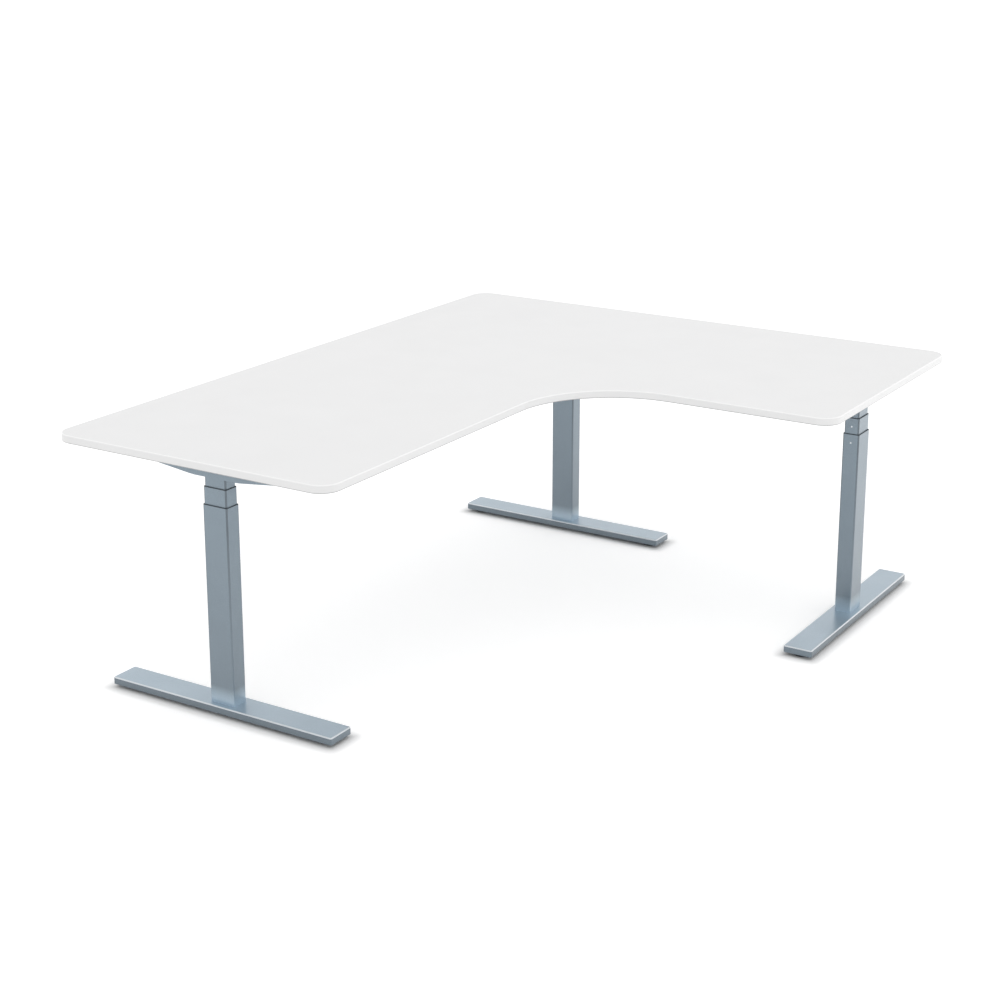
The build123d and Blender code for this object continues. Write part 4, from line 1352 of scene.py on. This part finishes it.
FLOOR_SIZE = 60.0
WHITE = (1.0, 1.0, 1.0, 1.0)
TOP_LAMP = dict(place=(0.0, 0.0, 3.6), target=(0.0, 0.0, 0.0), size=(5.0, 5.0))
SIDE_LAMP = dict(place=(4.6, 3.9, 1.3), target=(0.0, 0.0, 0.4), size=(5.0, 2.4))
SENSOR_WIDTH = 36.0
VIEW_DEPTH = 200.0


def seen_directly(tree):
    """1 where the camera sees a surface itself, in a reflection or through glass."""
    path = add_node(tree, "LightPath").outputs
    first = math_node(tree, "MAXIMUM", path["Is Camera Ray"], path["Is Glossy Ray"])
    return math_node(tree, "MAXIMUM", first, path["Is Transmission Ray"])


def make_foot_distance():
    """Distance over the floor to an upright block."""
    origin = (0.0, 0.0, 0.0)
    group, given, out = new_group("Distance to block", "Distance", Middle=origin, Half=origin)
    away = on_piece(group)
    steps = (("SUBTRACT", "Middle"), ("ABSOLUTE", None), ("SUBTRACT", "Half"), ("MAXIMUM", None))
    for operation, other in steps:
        step = add_node(group, "VectorMath", operation=operation)
        feed(group, step.inputs[0], away)
        if other is not None:
            feed(group, step.inputs[1], given[other])
        away = step.outputs["Vector"]
    span = add_node(group, "VectorMath", operation="LENGTH")
    feed(group, span.inputs[0], away)
    feed(group, out["Distance"], span.outputs["Value"])


def glow_away_from_feet(tree, stage):
    """The floor's glow, which fades out close to the feet so that their shadow stays."""
    nearest = 1.0
    for node in [f"{leg}_foot" for leg in LEGS]:
        half = node_size(node) / 2 + Vector((0, 0, 1))
        foot = use_group(tree, "Distance to block", Middle=middle_of(node), Half=half)
        nearest = math_node(tree, "MINIMUM", foot.outputs["Distance"], nearest)
    return spread(tree, nearest, 0.0, stage.floor_lift, 0.0, stage.shadow_reach)


def mixed(tree, kind, first, second):
    """The node that adds or mixes two shaders."""
    node = add_node(tree, kind)
    for socket, shader in zip(node.inputs[-2:], (first, second)):
        feed(tree, socket, shader.outputs[0])
    return node


def make_floor(colours, stage):
    clear_selection()
    bpy.ops.mesh.primitive_plane_add(size=FLOOR_SIZE)
    floor = settle("studio_floor")
    material = bpy.data.materials.new("studio_floor")
    material.use_nodes = True
    tree = material.node_tree
    tree.nodes.remove(tree.nodes["Principled BSDF"])
    matt, glow = add_node(tree, "BsdfDiffuse"), add_node(tree, "Emission")
    matt.inputs["Color"].default_value = (*colours.floor, 1.0)
    make_foot_distance()
    tone = math_node(tree, "MULTIPLY", seen_directly(tree), glow_away_from_feet(tree, stage))
    feed(tree, glow.inputs["Color"], tone)
    lit, clear = mixed(tree, "AddShader", matt, glow), add_node(tree, "BsdfTransparent")
    from_below = mixed(tree, "MixShader", lit, clear)
    feed(tree, from_below.inputs["Fac"], add_node(tree, "NewGeometry").outputs["Backfacing"])
    feed(tree, tree.nodes["Material Output"].inputs["Surface"], from_below.outputs[0])
    floor.data.materials.append(material)


def make_room(stage):
    world = bpy.data.worlds.new("studio_room")
    bpy.context.scene.world = world
    world.use_nodes = True
    tree = world.node_tree
    room, white = tree.nodes["Background"], add_node(tree, "Background")
    room.inputs["Strength"].default_value = stage.room_light
    for light in (room, white):
        light.inputs["Color"].default_value = WHITE
    mix = mixed(tree, "MixShader", room, white)
    feed(tree, mix.inputs["Fac"], seen_directly(tree))
    feed(tree, tree.nodes["World Output"].inputs["Surface"], mix.outputs[0])


def add_lamp(name, power, place, target, size):
    clear_selection()
    bpy.ops.object.light_add(type="AREA", location=place)
    lamp = bpy.context.object
    lamp.name = name
    lamp.data.shape = "RECTANGLE"
    lamp.data.size, lamp.data.size_y = size
    lamp.data.energy = power
    lamp.rotation_euler = (Vector(target) - Vector(place)).to_track_quat("-Z", "Y").to_euler()
    lamp.visible_camera = False


class DESK_OT_stage(Operator):
    """Set the floor, the soft light and the camera"""

    bl_idname = "desk.stage"
    bl_label = "Stage"

    def execute(self, context):
        stage = context.scene.desk_stage
        make_floor(context.scene.desk_colours, stage)
        make_room(stage)
        add_lamp("top_light", stage.top_light, **TOP_LAMP)
        add_lamp("side_light", stage.side_light, **SIDE_LAMP)
        clear_selection()
        turned = (QUARTER - stage.camera_pitch, 0.0, stage.camera_turn)
        bpy.ops.object.camera_add(location=stage.camera_place, rotation=turned)
        camera = context.object
        camera.name = "photo_camera"
        camera.data.sensor_width = SENSOR_WIDTH
        camera.data.lens = stage.camera_lens
        camera.data.shift_y = stage.camera_shift
        camera.data.clip_end = VIEW_DEPTH
        context.scene.camera = camera
        context.scene.view_settings.view_transform = "Standard"
        return {"FINISHED"}


class DESK_PT_sidebar(Panel):
    """Sizes, colours and steps of the desk"""

    bl_idname = "DESK_PT_sidebar"
    bl_label = "Corner lifting desk"
    bl_space_type = "VIEW_3D"
    bl_region_type = "UI"
    bl_category = "Desk"

    def draw(self, context):
        for step in STEPS:
            self.layout.operator("desk." + step)
        for group in (context.scene.desk_sizes, context.scene.desk_colours, context.scene.desk_stage):
            column = self.layout.column()
            for name in group.__annotations__:
                column.prop(group, name)


STEPS = (
    "finishes", "desktop", "feet", "glides", "columns", "collars", "arms", "beams", "fasteners",
    "control_box", "control_board", "handset", "drive", "stage",
)
GROUPS = {"desk_sizes": DeskSizes, "desk_colours": DeskColours, "desk_stage": DeskStage}
CLASSES = (
    DeskSizes, DeskColours, DeskStage, DESK_OT_finishes, DESK_OT_desktop, DESK_OT_feet, DESK_OT_glides,
    DESK_OT_columns, DESK_OT_collars, DESK_OT_arms, DESK_OT_beams, DESK_OT_fasteners, DESK_OT_control_box,
    DESK_OT_control_board, DESK_OT_handset, DESK_OT_drive, DESK_OT_stage, DESK_PT_sidebar,
)


def register():
    for cls in CLASSES:
        bpy.utils.register_class(cls)
    for name, group in GROUPS.items():
        setattr(bpy.types.Scene, name, PointerProperty(type=group))


def unregister():
    for name in GROUPS:
        delattr(bpy.types.Scene, name)
    for cls in reversed(CLASSES):
        bpy.utils.unregister_class(cls)


def main():
    register()
    for step in STEPS:
        getattr(bpy.ops.desk, step)()


if __name__ == "__main__":
    main()
